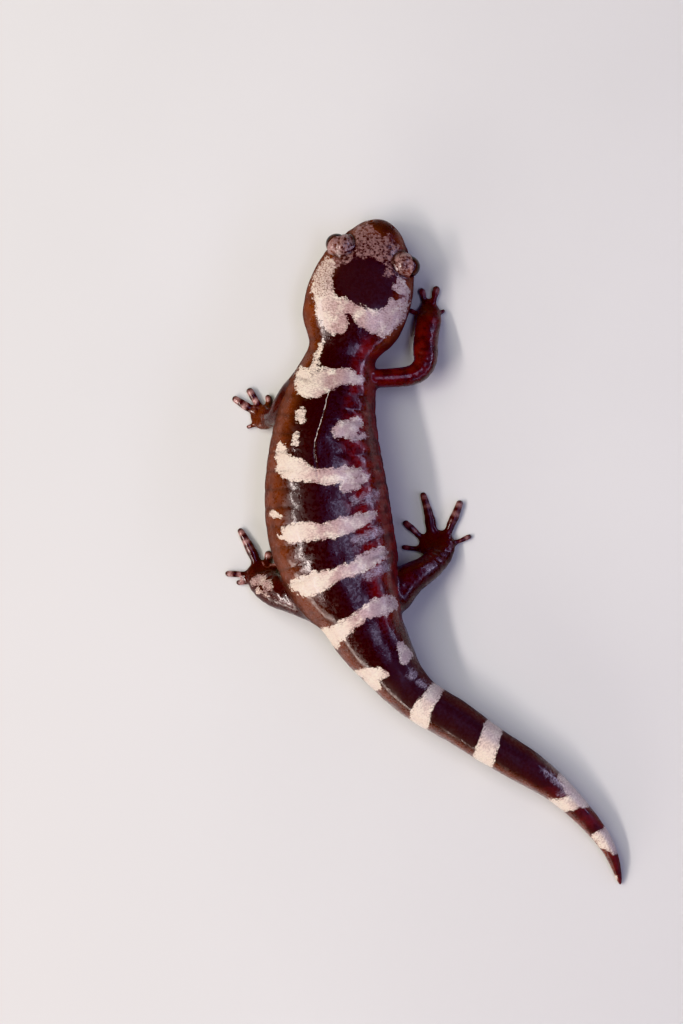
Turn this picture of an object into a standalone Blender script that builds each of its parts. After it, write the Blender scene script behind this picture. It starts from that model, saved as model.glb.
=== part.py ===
# A marbled salamander, life size, standing still with its tail swung to its right.
# Lengths are in millimetres and turned to metres when the meshes are made.
# +Y is where the head points, +X is the animal's right, +Z is up and the floor is Z = 0.

import math

import bmesh
import bpy
import numpy as np

MM = 0.001
NAME = "marbled_salamander"

# The middle of the animal's bounding box in the plan the sizes below were taken in.
BOX_CENTRE = (0.00, -0.03)

# Gap left between two neighbouring parts.
GAP = 0.3

# Centre line in plan from the tip of the snout to the tip of the tail: X, Y.
CENTRE_LINE = (
    (-5.05, 41.75),
    (-7.05, 35.10),
    (-8.65, 30.40),
    (-10.15, 25.25),
    (-11.10, 21.50),
    (-11.75, 18.90),
    (-12.25, 15.40),
    (-12.40, 11.60),
    (-12.25, 7.90),
    (-12.00, 5.10),
    (-11.40, 1.60),
    (-10.40, -1.50),
    (-9.40, -4.40),
    (-8.15, -7.00),
    (-7.10, -9.60),
    (-5.60, -12.10),
    (-3.80, -14.80),
    (-0.75, -18.20),
    (3.45, -20.80),
    (7.80, -23.75),
    (12.95, -26.95),
    (17.35, -30.20),
    (21.00, -34.00),
    (22.80, -36.35),
    (24.00, -38.75),
    (24.90, -41.90),
)

# Girth along the centre line: distance from the snout, half width, half height, middle height.
GIRTH = (
    (0.00, 0.00, 0.00, 3.45),
    (0.44, 1.48, 0.85, 3.48),
    (1.10, 2.50, 1.35, 3.52),
    (2.25, 3.50, 1.92, 3.64),
    (3.80, 4.65, 2.50, 3.84),
    (5.60, 5.62, 2.92, 4.02),
    (8.75, 6.40, 3.20, 4.18),
    (10.70, 6.50, 3.30, 4.22),
    (12.60, 6.38, 3.30, 4.18),
    (14.50, 5.95, 3.18, 4.05),
    (15.60, 5.34, 3.08, 3.95),
    (16.60, 4.65, 3.00, 3.90),
    (17.30, 4.35, 3.05, 3.88),
    (19.00, 4.55, 3.35, 3.95),
    (21.10, 5.25, 3.85, 4.10),
    (23.80, 5.85, 4.40, 4.38),
    (27.40, 6.55, 4.95, 4.70),
    (31.10, 7.20, 5.25, 4.95),
    (34.90, 7.70, 5.35, 5.02),
    (37.60, 7.88, 5.35, 5.02),
    (41.20, 7.82, 5.30, 4.96),
    (44.50, 7.40, 5.20, 4.86),
    (47.50, 6.62, 5.05, 4.72),
    (50.40, 5.55, 4.80, 4.50),
    (53.20, 4.75, 4.50, 4.25),
    (56.10, 4.22, 4.25, 4.05),
    (59.40, 3.48, 3.85, 3.70),
    (63.90, 2.85, 3.50, 3.38),
    (68.90, 2.68, 3.30, 3.20),
    (74.10, 2.45, 3.10, 3.00),
    (80.20, 2.22, 2.80, 2.70),
    (85.70, 1.66, 2.25, 2.15),
    (91.10, 1.24, 1.72, 1.62),
    (93.90, 1.00, 1.34, 1.25),
    (96.70, 0.70, 0.95, 0.87),
    (98.60, 0.45, 0.60, 0.55),
    (99.90, 0.00, 0.00, 0.42),
)
TAIL_TIP = 99.90

# How square the body's sections are, across and up.
ACROSS_POWER = 2.3
UP_POWER = 2.2

# Parts of the body: first and last distance from the snout.
HEAD_END = 14.6
NECK_START = HEAD_END + GAP
NECK_END = 17.1
TORSO_START = NECK_END + GAP
TORSO_END = 45.0
HIPS_START = TORSO_END + GAP
HIPS_END = 53.6
TAIL_ROOT_START = HIPS_END + GAP
TAIL_ROOT_END = 66.0
TAIL_MIDDLE_START = TAIL_ROOT_END + GAP
TAIL_MIDDLE_END = 81.0
TAIL_END_START = TAIL_MIDDLE_END + GAP

# Ring and row counts of the body's parts.
HEAD_SEGMENTS = 30
HEAD_ROWS = 26
BODY_SEGMENTS = 26
TAIL_SEGMENTS = 18
ROWS_PER_GROOVE = 4

# Grooves over the ribs, between the legs, and the groove along the back.
GROOVE_FIRST = 22.0
GROOVE_COUNT = 12
GROOVE_SPACING = 2.08
GROOVE_DEPTH = 0.22
BACK_GROOVE_DEPTH = 0.16
BACK_GROOVE_WIDTH = 0.9
BACK_GROOVE_RANGE = (20.0, 52.0)

# Eyes: distance behind the snout along the head, offset to the side, height and radius.
EYE_BACK = 4.80
EYE_SIDE = 4.70
EYE_HEIGHT = 5.50
EYE_RADIUS = 1.28

# Lid dome over each eye: offset to the side, height, and half sizes along, across and up.
LID_SIDE = 4.12
LID_HEIGHT = 5.10
LID_SIZE = (1.92, 1.92, 2.42)

# Opening between the lids: offset to the side, height, and half sizes along, across and up.
OPENING_SIDE = 6.05
OPENING_HEIGHT = 5.95
OPENING_SIZE = (1.28, 1.10, 1.00)

# Mouth: how far back its corners are, depth, width of the slit, and heights of its line.
MOUTH_LENGTH = 9.8
MOUTH_DEPTH = 0.65
MOUTH_WIDTH = 0.24
MOUTH_OUTSIDE = 0.7
MOUTH_LINE = ((0.0, 2.95), (3.5, 2.85), (7.0, 3.05), (9.8, 3.70))
MOUTH_STEPS = 34

# Nostrils: distance behind the snout, offset to the side, height and radius.
NOSTRIL_BACK = 0.62
NOSTRIL_SIDE = 1.45
NOSTRIL_HEIGHT = 4.25
NOSTRIL_RADIUS = 0.24

# Legs: rows of X, Y, Z, half width and half height from inside the body to the wrist or ankle.
FORELEG_RIGHT = (
    (-7.30, 21.80, 4.20, 1.26, 1.70),
    (-4.90, 21.90, 3.95, 1.18, 1.50),
    (-2.50, 22.08, 3.65, 1.24, 1.37),
    (-0.75, 22.65, 3.35, 1.34, 1.36),
    (0.15, 23.90, 3.00, 1.46, 1.42),
    (0.25, 25.60, 2.50, 1.56, 1.42),
    (0.45, 27.80, 1.80, 1.54, 1.20),
    (0.68, 29.40, 1.20, 1.58, 0.98),
)
FORELEG_LEFT = (
    (-14.00, 22.90, 4.30, 1.35, 1.60),
    (-15.90, 21.30, 4.50, 1.20, 1.35),
    (-17.20, 19.70, 4.65, 1.13, 1.22),
    (-17.90, 18.40, 4.45, 1.10, 1.16),
    (-18.40, 17.50, 3.60, 1.12, 1.12),
    (-18.90, 17.15, 2.40, 1.16, 1.08),
    (-19.55, 17.00, 1.35, 1.42, 0.95),
)
HINDLEG_RIGHT = (
    (-5.80, -6.30, 4.20, 3.10, 2.80),
    (-3.85, -4.95, 3.90, 2.75, 2.45),
    (-2.25, -3.65, 3.60, 2.25, 2.08),
    (-0.75, -2.70, 3.10, 1.85, 1.80),
    (0.70, -1.80, 2.40, 1.66, 1.50),
    (1.70, -0.55, 1.55, 1.80, 1.15),
)
HINDLEG_LEFT = (
    (-11.60, -8.20, 4.10, 1.95, 2.30),
    (-13.60, -7.20, 3.90, 1.72, 2.00),
    (-15.40, -6.45, 3.60, 1.58, 1.75),
    (-17.30, -5.40, 3.10, 1.92, 1.60),
    (-18.90, -4.60, 2.45, 2.02, 1.42),
    (-20.00, -3.65, 1.60, 2.00, 1.12),
)

# Hands and feet: the same rows, going on from the wrist or ankle to the roots of the toes.
HAND_RIGHT = (
    (0.75, 30.25, 0.80, 1.44, 0.78),
    (0.75, 31.05, 0.55, 1.18, 0.56),
    (0.75, 31.70, 0.42, 0.78, 0.36),
)
HAND_LEFT = (
    (-20.25, 17.10, 0.80, 1.58, 0.76),
    (-20.85, 17.35, 0.55, 1.38, 0.55),
    (-21.35, 17.65, 0.42, 0.75, 0.36),
)
FOOT_RIGHT = (
    (1.75, 0.55, 0.90, 2.35, 0.85),
    (1.50, 1.60, 0.58, 2.15, 0.56),
    (1.35, 2.40, 0.42, 1.35, 0.38),
)
FOOT_LEFT = (
    (-20.35, -2.90, 0.95, 2.00, 0.86),
    (-20.40, -2.05, 0.60, 1.80, 0.58),
    (-20.35, -1.40, 0.42, 1.15, 0.38),
)

# Toes, counted from the one nearest the body: rows of X, Y and half width from root to tip.
TOES_HAND_RIGHT = (
    ((0.20, 29.60, 0.60), (-1.75, 30.70, 0.36)),
    ((0.45, 30.60, 0.66), (-0.25, 33.35, 0.38)),
    ((1.10, 30.60, 0.70), (1.75, 33.65, 0.40)),
    ((1.30, 29.70, 0.60), (2.75, 30.65, 0.36)),
)
TOES_HAND_LEFT = (
    ((-19.70, 17.70, 0.62), (-19.55, 19.95, 0.38)),
    ((-20.35, 17.80, 0.68), (-21.20, 19.30, 0.52), (-22.10, 20.75, 0.42)),
    ((-20.80, 17.50, 0.74), (-22.60, 18.65, 0.52), (-24.05, 19.60, 0.40)),
    ((-20.20, 16.60, 0.72), (-22.30, 15.75, 0.36)),
)
TOES_FOOT_RIGHT = (
    ((0.60, 0.35, 0.62), (-2.70, 0.70, 0.37)),
    ((0.60, 1.10, 0.66), (-2.45, 3.95, 0.37)),
    ((1.20, 1.40, 1.00), (0.95, 3.60, 0.72), (0.45, 5.80, 0.50), (-0.10, 7.60, 0.38)),
    ((2.50, 1.20, 0.95), (3.60, 3.60, 0.64), (4.75, 6.60, 0.42)),
    ((2.60, 0.50, 0.75), (4.20, 1.30, 0.50), (6.10, 2.15, 0.36)),
)
TOES_FOOT_LEFT = (
    ((-19.20, -3.00, 0.80), (-18.30, -0.95, 0.44)),
    ((-19.95, -2.30, 0.88), (-19.40, 0.25, 0.42)),
    ((-20.85, -2.00, 0.95), (-22.00, 0.80, 0.60), (-23.25, 3.05, 0.36)),
    ((-21.10, -2.90, 0.85), (-23.00, -2.72, 0.58), (-25.00, -2.65, 0.36)),
    ((-21.10, -3.50, 0.70), (-23.60, -3.80, 0.37)),
)

# A toe is less high than wide where it is wider than this half width; length of its round tip.
TOE_FLAT = 0.45
TOE_ROUNDING = 0.40
TOE_ROWS = 7
TOE_SEGMENTS = 8
LEG_SEGMENTS = 14

# Where each leg is parted at the elbow or knee, as a share of its length.
ELBOW_RIGHT = 0.52
ELBOW_LEFT = 0.60
KNEE_RIGHT = 0.56
KNEE_LEFT = 0.60

SKIN_COLOUR = (0.022, 0.012, 0.013, 1.0)
EYE_COLOUR = (0.006, 0.005, 0.006, 1.0)


# Curves

def natural_spline(knots, values, at):
    """Cubic curve through the values at the knots, with no bend at either end."""
    knots = np.asarray(knots, float)
    values = np.asarray(values, float)
    at = np.asarray(at, float)
    count = len(knots)
    step = np.diff(knots)
    slope = np.diff(values) / step
    matrix = np.eye(count)
    right = np.zeros(count)
    for i in range(1, count - 1):
        matrix[i, i - 1] = step[i - 1]
        matrix[i, i] = 2.0 * (step[i - 1] + step[i])
        matrix[i, i + 1] = step[i]
        right[i] = 6.0 * (slope[i] - slope[i - 1])
    bend = np.linalg.solve(matrix, right)
    cell = np.clip(np.searchsorted(knots, at) - 1, 0, count - 2)
    width = step[cell]
    a = (knots[cell + 1] - at) / width
    b = (at - knots[cell]) / width
    curve = a * values[cell] + b * values[cell + 1]
    return curve + ((a ** 3 - a) * bend[cell] + (b ** 3 - b) * bend[cell + 1]) * width ** 2 / 6.0


def chord_lengths(points):
    """Distance along a chain of points, starting at nought."""
    steps = np.linalg.norm(np.diff(np.asarray(points, float), axis=0), axis=1)
    return np.concatenate(([0.0], np.cumsum(steps)))


def smooth_step(edge0, edge1, value):
    """Nought below the first edge, one above the second, and an S curve between them."""
    share = np.clip((value - edge0) / (edge1 - edge0), 0.0, 1.0)
    return share * share * (3.0 - 2.0 * share)


# The body

def centre_line(distance):
    """Plan position and headward direction at distances from the snout."""
    knots = chord_lengths(CENTRE_LINE)
    table = np.asarray(CENTRE_LINE, float)
    distance = np.clip(np.asarray(distance, float), 0.0, knots[-1])
    x = natural_spline(knots, table[:, 0], distance)
    y = natural_spline(knots, table[:, 1], distance)
    ahead = np.clip(distance - 0.05, 0.0, knots[-1] - 0.1)
    behind = ahead + 0.1
    run_x = natural_spline(knots, table[:, 0], ahead) - natural_spline(knots, table[:, 0], behind)
    run_y = natural_spline(knots, table[:, 1], ahead) - natural_spline(knots, table[:, 1], behind)
    length = np.hypot(run_x, run_y)
    return x, y, run_x / length, run_y / length


def girth(distance):
    """Half width, half height and middle height at distances from the snout.

    The squares of the half sizes are splined, so the snout and the tail end in round tips.
    """
    table = np.asarray(GIRTH, float)
    distance = np.clip(np.asarray(distance, float), 0.0, TAIL_TIP)
    width = np.sqrt(np.maximum(natural_spline(table[:, 0], table[:, 1] ** 2, distance), 0.0))
    height = np.sqrt(np.maximum(natural_spline(table[:, 0], table[:, 2] ** 2, distance), 0.0))
    middle = natural_spline(table[:, 0], table[:, 3], distance)
    return width, height, middle


def rib_grooves(distance):
    """One in the middle of each groove between the legs, nought between grooves."""
    phase = (distance - GROOVE_FIRST) / GROOVE_SPACING
    inside = smooth_step(-0.6, 0.0, phase)
    inside = inside * (1.0 - smooth_step(GROOVE_COUNT - 1.0, GROOVE_COUNT - 0.4, phase))
    return inside * (0.5 + 0.5 * np.cos(2.0 * math.pi * phase)) ** 3


def body_rings(distances, segments, grow=0.0, grooved=True):
    """Rings of points around the body, one ring for each distance from the snout."""
    distances = np.asarray(distances, float)[:, None]
    angle = (2.0 * math.pi * np.arange(segments) / segments)[None, :]
    x, y, head_x, head_y = centre_line(distances)
    width, height, middle = girth(distances)
    side = np.sin(angle)
    up = np.cos(angle)
    across = (width + grow) * np.sign(side) * np.abs(side) ** (2.0 / ACROSS_POWER)
    rise = (height + grow) * np.sign(up) * np.abs(up) ** (2.0 / UP_POWER)
    if grooved:
        flank = smooth_step(0.15, 0.75, np.abs(side)) * smooth_step(-0.9, -0.3, up)
        pull = 1.0 - GROOVE_DEPTH / np.maximum(width, 1.0) * rib_grooves(distances) * flank
        across = across * pull
        rise = rise * pull
        along = smooth_step(BACK_GROOVE_RANGE[0], BACK_GROOVE_RANGE[0] + 3.0, distances)
        along = along * (1.0 - smooth_step(BACK_GROOVE_RANGE[1] - 3.0, BACK_GROOVE_RANGE[1], distances))
        dip = np.exp(-(across / BACK_GROOVE_WIDTH) ** 2) * (up > 0.0)
        rise = rise - BACK_GROOVE_DEPTH * along * dip
    rings = np.empty(across.shape + (3,))
    rings[..., 0] = x + across * head_y - BOX_CENTRE[0]
    rings[..., 1] = y - across * head_x - BOX_CENTRE[1]
    rings[..., 2] = np.maximum(middle + rise, 0.0 if grow == 0.0 else -1.0)
    return rings


def head_point(back, side, height):
    """Place a point by its distance behind the snout, its offset to the right and its height."""
    x, y, head_x, head_y = centre_line(np.array([back]))
    return np.array([
        x[0] + side * head_y[0] - BOX_CENTRE[0],
        y[0] - side * head_x[0] - BOX_CENTRE[1],
        height,
    ])


# Meshes

def make_object(name, vertices, faces, collection):
    """Object from points in millimetres, with its faces turned outward."""
    mesh = bpy.data.meshes.new(name)
    mesh.from_pydata([tuple(float(c) * MM for c in vertex) for vertex in vertices], [], faces)
    work = bmesh.new()
    work.from_mesh(mesh)
    bmesh.ops.recalc_face_normals(work, faces=work.faces)
    work.to_mesh(mesh)
    work.free()
    obj = bpy.data.objects.new(name, mesh)
    collection.objects.link(obj)
    return obj


def loft(name, rings, collection, start_tip=None, end_tip=None):
    """Closed skin over a row of rings, ending in a flat face or in a tip point."""
    rows, count = rings.shape[:2]
    vertices = [tuple(point) for point in rings.reshape(-1, 3)]
    faces = []
    for row in range(rows - 1):
        for i in range(count):
            j = (i + 1) % count
            faces.append((row * count + i, row * count + j, (row + 1) * count + j, (row + 1) * count + i))
    last = (rows - 1) * count
    if start_tip is None:
        faces.append(tuple(range(count)))
    else:
        tip = len(vertices)
        vertices.append(tuple(start_tip))
        faces.extend((i, (i + 1) % count, tip) for i in range(count))
    if end_tip is None:
        faces.append(tuple(last + i for i in range(count)))
    else:
        tip = len(vertices)
        vertices.append(tuple(end_tip))
        faces.extend((last + i, last + (i + 1) % count, tip) for i in range(count))
    return make_object(name, vertices, faces, collection)


def ball(name, centre, size, collection, segments=16, rows=10):
    """Round or stretched ball; its sizes are taken along the head, across it and up."""
    _, _, head_x, head_y = centre_line(np.array([EYE_BACK]))
    forward = np.array([head_x[0], head_y[0], 0.0])
    right = np.array([head_y[0], -head_x[0], 0.0])
    upward = np.array([0.0, 0.0, 1.0])
    polar = (math.pi * np.arange(1, rows) / rows)[:, None]
    around = (2.0 * math.pi * np.arange(segments) / segments)[None, :]
    rings = (
        np.asarray(centre)
        + (np.sin(polar) * np.cos(around) * size[0])[..., None] * forward
        + (np.cos(polar) * np.ones_like(around) * size[1])[..., None] * right
        + (np.sin(polar) * np.sin(around) * size[2])[..., None] * upward
    )
    return loft(name, rings, collection, centre + size[1] * right, centre - size[1] * right)


def combine(obj, operation, others, solver="EXACT"):
    """Join or cut an object with every object of a list, apply it and remove the list."""
    group = bpy.data.collections.new("pieces")
    bpy.context.scene.collection.children.link(group)
    for other in others:
        for owner in list(other.users_collection):
            owner.objects.unlink(other)
        group.objects.link(other)
    modifier = obj.modifiers.new("join", "BOOLEAN")
    modifier.operation = operation
    modifier.operand_type = "COLLECTION"
    modifier.collection = group
    modifier.solver = solver
    bpy.context.view_layer.update()
    evaluated = obj.evaluated_get(bpy.context.evaluated_depsgraph_get())
    mesh = bpy.data.meshes.new_from_object(evaluated)
    obj.modifiers.clear()
    obj.data = mesh
    for other in others:
        bpy.data.objects.remove(other)
    bpy.data.collections.remove(group)
    keep_largest(obj)


def keep_largest(obj):
    """Keep only the closed surface with the largest volume."""
    work = bmesh.new()
    work.from_mesh(obj.data)
    bmesh.ops.remove_doubles(work, verts=work.verts, dist=0.000002)
    bmesh.ops.triangulate(work, faces=work.faces)
    left = set(work.faces)
    shells = []
    while left:
        stack = [left.pop()]
        shell = list(stack)
        while stack:
            face = stack.pop()
            for edge in face.edges:
                for near in edge.link_faces:
                    if near in left:
                        left.remove(near)
                        stack.append(near)
                        shell.append(near)
        shells.append(shell)

    def volume(shell):
        return abs(sum(f.verts[0].co.dot(f.verts[1].co.cross(f.verts[2].co)) for f in shell))

    shells.sort(key=volume, reverse=True)
    extra = [face for shell in shells[1:] for face in shell]
    if extra:
        bmesh.ops.delete(work, geom=extra, context="FACES")
    work.to_mesh(obj.data)
    work.free()


def finish(obj, colour, roughness):
    """Give a part its own material and smooth shading with sharp cut edges."""
    material = bpy.data.materials.new(obj.name + "_surface")
    material.use_nodes = True
    shader = material.node_tree.nodes["Principled BSDF"]
    shader.inputs["Base Color"].default_value = colour
    shader.inputs["Roughness"].default_value = roughness
    obj.data.materials.clear()
    obj.data.materials.append(material)
    obj.data.shade_smooth()
    obj.data.set_sharp_from_angle(angle=math.radians(48.0))


# The head

def mouth_cutter(collection):
    """Thin sheet bent round the snout just inside and outside the line of the mouth."""
    table = np.asarray(MOUTH_LINE, float)
    share = np.linspace(-1.0, 1.0, MOUTH_STEPS + 1)
    back = MOUTH_LENGTH * share ** 2
    width, _, _ = girth(back)
    side = np.sign(share) * width * 0.985
    height = natural_spline(table[:, 0], table[:, 1], back)
    run = np.stack((np.gradient(side), np.gradient(back)), axis=1)
    run = run / np.linalg.norm(run, axis=1)[:, None]
    outward = np.stack((run[:, 1], -run[:, 0]), axis=1)
    fade = 1.0 - 0.75 * np.abs(share) ** 6
    corners = []
    outside, inside = MOUTH_OUTSIDE, -MOUTH_DEPTH
    for reach, lift in ((outside, 0.5), (outside, -0.5), (inside, -0.5), (inside, 0.5)):
        offset = reach * (fade if reach < 0.0 else 1.0)
        s = side + outward[:, 0] * offset
        b = back + outward[:, 1] * offset
        h = height + lift * MOUTH_WIDTH
        corners.append(np.stack((s, b, h), axis=1))
    _, _, head_x, head_y = centre_line(np.array([EYE_BACK]))
    tip_x, tip_y, _, _ = centre_line(np.array([0.0]))
    rings = np.empty((len(share), 4, 3))
    for corner, edge in enumerate(corners):
        rings[:, corner, 0] = tip_x + edge[:, 0] * head_y - edge[:, 1] * head_x - BOX_CENTRE[0]
        rings[:, corner, 1] = tip_y - edge[:, 0] * head_x - edge[:, 1] * head_y - BOX_CENTRE[1]
        rings[:, corner, 2] = edge[:, 2]
    return loft("mouth_cutter", rings, collection)


def make_head(collection):
    """Head with lids standing over the eyes, the line of the mouth and two nostrils."""
    distances = HEAD_END * (np.arange(1, HEAD_ROWS + 1) / HEAD_ROWS) ** 1.5
    rings = body_rings(distances, HEAD_SEGMENTS)
    head = loft("head", rings, collection, start_tip=head_point(0.0, 0.0, GIRTH[0][3]))
    lids = []
    cutters = []
    for hand, label in ((-1.0, "left"), (1.0, "right")):
        dome = head_point(EYE_BACK, hand * LID_SIDE, LID_HEIGHT)
        lids.append(ball("lid_" + label, dome, LID_SIZE, collection, 18, 12))
        reach = EYE_RADIUS + GAP
        middle = head_point(EYE_BACK, hand * EYE_SIDE, EYE_HEIGHT)
        cutters.append(ball("socket_" + label, middle, (reach, reach, reach), collection, 14, 9))
        outside = head_point(EYE_BACK, hand * OPENING_SIDE, OPENING_HEIGHT)
        cutters.append(ball("opening_" + label, outside, OPENING_SIZE, collection, 14, 8))
        nostril = head_point(NOSTRIL_BACK, hand * NOSTRIL_SIDE, NOSTRIL_HEIGHT)
        hole = (NOSTRIL_RADIUS, NOSTRIL_RADIUS, NOSTRIL_RADIUS)
        cutters.append(ball("nostril_" + label, nostril, hole, collection, 8, 6))
    combine(head, "UNION", lids)
    combine(head, "DIFFERENCE", cutters)
    combine(head, "DIFFERENCE", [mouth_cutter(collection)])
    return head


# Legs

def tube_rings(rows, distances, segments, first_cut=None, last_cut=None):
    """Rings along a bent tube at distances from its start.

    A ring at a cut lies half a gap from it and is turned like the cut, so that the faces
    on both sides of the gap are parallel.
    """
    table = np.asarray(rows, float)
    knots = chord_lengths(table[:, :3])

    def place(distance):
        return np.stack([natural_spline(knots, table[:, k], distance) for k in range(3)], axis=-1)

    distances = np.asarray(distances, float)
    turned_at = distances.copy()
    shift = np.zeros(len(distances))
    if first_cut is not None:
        turned_at[0] = first_cut
        shift[0] = GAP / 2.0
    if last_cut is not None:
        turned_at[-1] = last_cut
        shift[-1] = -GAP / 2.0
    turned_at = np.clip(turned_at, 0.02, knots[-1] - 0.02)
    forward = place(turned_at + 0.02) - place(turned_at - 0.02)
    forward = forward / np.linalg.norm(forward, axis=-1)[:, None]
    at_cut = place(turned_at) + shift[:, None] * forward
    centre = np.where(shift[:, None] == 0.0, place(distances), at_cut)
    right = np.stack((forward[:, 1], -forward[:, 0], np.zeros(len(distances))), axis=1)
    right = right / np.linalg.norm(right, axis=1)[:, None]
    upward = np.cross(right, forward)
    half_width = natural_spline(knots, table[:, 3], distances)
    half_height = natural_spline(knots, table[:, 4], distances)
    angle = 2.0 * math.pi * np.arange(segments) / segments
    rings = (
        centre[:, None, :]
        + (half_width[:, None] * np.sin(angle))[..., None] * right[:, None, :]
        + (half_height[:, None] * np.cos(angle))[..., None] * upward[:, None, :]
    )
    rings[..., 0] -= BOX_CENTRE[0]
    rings[..., 1] -= BOX_CENTRE[1]
    rings[..., 2] = np.maximum(rings[..., 2], 0.0)
    return rings


def make_toe(name, points, collection):
    """Toe lying on the floor: a tapering tube with a round tip and a flat underside."""
    table = np.asarray(points, float)
    knots = chord_lengths(table[:, :2])
    share = 1.0 - (1.0 - np.arange(TOE_ROWS) / TOE_ROWS) ** 1.6
    along = share * knots[-1]
    x = natural_spline(knots, table[:, 0], along) - BOX_CENTRE[0]
    y = natural_spline(knots, table[:, 1], along) - BOX_CENTRE[1]
    wide = natural_spline(knots, table[:, 2], along)
    high = wide - 0.5 * np.maximum(wide - TOE_FLAT, 0.0)
    lift = 0.92 * np.minimum(high, TOE_FLAT)
    close = np.minimum((knots[-1] - along) / TOE_ROUNDING, 1.0)
    close = np.sqrt(close * (2.0 - close))
    run = np.stack((np.gradient(x), np.gradient(y)), axis=1)
    run = run / np.linalg.norm(run, axis=1)[:, None]
    angle = 2.0 * math.pi * (np.arange(TOE_SEGMENTS) + 0.5) / TOE_SEGMENTS
    reach = (wide * close)[:, None] * np.sin(angle)
    rise = (high * close)[:, None] * np.cos(angle)
    rings = np.empty((TOE_ROWS, TOE_SEGMENTS, 3))
    rings[..., 0] = x[:, None] + reach * run[:, 1, None]
    rings[..., 1] = y[:, None] - reach * run[:, 0, None]
    rings[..., 2] = np.maximum(lift[:, None] + rise, 0.0)
    tip = (table[-1, 0] - BOX_CENTRE[0], table[-1, 1] - BOX_CENTRE[1], lift[-1])
    return loft(name, rings, collection, end_tip=tip)


def make_leg(labels, rows, joint, palm_rows, toes, collection):
    """One leg in three parts, its root shaped to the body it grows from."""
    upper_name, lower_name, end_name = labels
    path = tuple(rows) + tuple(palm_rows)
    knots = chord_lengths(np.asarray(path, float)[:, :3])
    wrist = knots[len(rows) - 1]
    bend = joint * wrist
    upper_at = np.linspace(0.0, bend - GAP / 2.0, 12)
    upper = loft(upper_name, tube_rings(path, upper_at, LEG_SEGMENTS, None, bend), collection)
    lower_at = np.linspace(bend + GAP / 2.0, wrist - GAP / 2.0, 10)
    lower = loft(lower_name, tube_rings(path, lower_at, LEG_SEGMENTS, bend, wrist), collection)
    for part in (upper, lower):
        trunk = loft("trunk_cutter", body_rings(np.arange(12.0, 60.0, 1.0), 32, GAP, False), collection)
        combine(part, "DIFFERENCE", [trunk])
    end_at = np.linspace(wrist + GAP / 2.0, knots[-1], 7)
    end = loft(end_name, tube_rings(path, end_at, LEG_SEGMENTS, wrist, None), collection)
    pieces = []
    for number, toe in enumerate(toes, 1):
        pieces.append(make_toe(end_name + "_toe_" + str(number), toe, collection))
    combine(end, "UNION", pieces)
    return [upper, lower, end]


# Building

def clear_scene():
    """Remove every object the scene starts with."""
    for obj in list(bpy.data.objects):
        bpy.data.objects.remove(obj)


def groove_rows(first, last):
    """Distances that fall evenly on the rib grooves, between and including two ends."""
    step = GROOVE_SPACING / ROWS_PER_GROOVE
    start = GROOVE_FIRST + step * math.ceil((first + 0.4 * step - GROOVE_FIRST) / step)
    inner = np.arange(start, last - 0.4 * step, step)
    return np.concatenate(([first], inner, [last]))


def main():
    clear_scene()
    collection = bpy.data.collections.new(NAME)
    bpy.context.scene.collection.children.link(collection)

    parts = [make_head(collection)]
    neck_rows = np.linspace(NECK_START, NECK_END, 6)
    parts.append(loft("neck", body_rings(neck_rows, BODY_SEGMENTS), collection))
    torso_rows = groove_rows(TORSO_START, TORSO_END)
    parts.append(loft("torso", body_rings(torso_rows, BODY_SEGMENTS), collection))
    hips_rows = groove_rows(HIPS_START, HIPS_END)
    parts.append(loft("hips", body_rings(hips_rows, BODY_SEGMENTS), collection))
    root_rows = np.linspace(TAIL_ROOT_START, TAIL_ROOT_END, 13)
    parts.append(loft("tail_root", body_rings(root_rows, TAIL_SEGMENTS), collection))
    middle_rows = np.linspace(TAIL_MIDDLE_START, TAIL_MIDDLE_END, 14)
    parts.append(loft("tail_middle", body_rings(middle_rows, TAIL_SEGMENTS), collection))
    share = np.linspace(0.0, 1.0, 19)[:-1]
    end_rows = TAIL_END_START + (TAIL_TIP - TAIL_END_START) * (1.0 - (1.0 - share) ** 1.4)
    tip_x, tip_y, _, _ = centre_line(np.array([TAIL_TIP]))
    tip = (tip_x[0] - BOX_CENTRE[0], tip_y[0] - BOX_CENTRE[1], GIRTH[-1][3])
    parts.append(loft("tail_end", body_rings(end_rows, TAIL_SEGMENTS), collection, end_tip=tip))

    parts += make_leg(("upper_arm_right", "forearm_right", "hand_right"), FORELEG_RIGHT, ELBOW_RIGHT,
                      HAND_RIGHT, TOES_HAND_RIGHT, collection)
    parts += make_leg(("upper_arm_left", "forearm_left", "hand_left"), FORELEG_LEFT, ELBOW_LEFT,
                      HAND_LEFT, TOES_HAND_LEFT, collection)
    parts += make_leg(("thigh_right", "shank_right", "foot_right"), HINDLEG_RIGHT, KNEE_RIGHT,
                      FOOT_RIGHT, TOES_FOOT_RIGHT, collection)
    parts += make_leg(("thigh_left", "shank_left", "foot_left"), HINDLEG_LEFT, KNEE_LEFT,
                      FOOT_LEFT, TOES_FOOT_LEFT, collection)
    for part in parts:
        finish(part, SKIN_COLOUR, 0.3)

    size = (EYE_RADIUS, EYE_RADIUS, EYE_RADIUS)
    for hand, label in ((-1.0, "left"), (1.0, "right")):
        middle = head_point(EYE_BACK, hand * EYE_SIDE, EYE_HEIGHT)
        eye = ball("eye_" + label, middle, size, collection, 16, 10)
        finish(eye, EYE_COLOUR, 0.08)


main()
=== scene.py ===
import math

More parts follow.
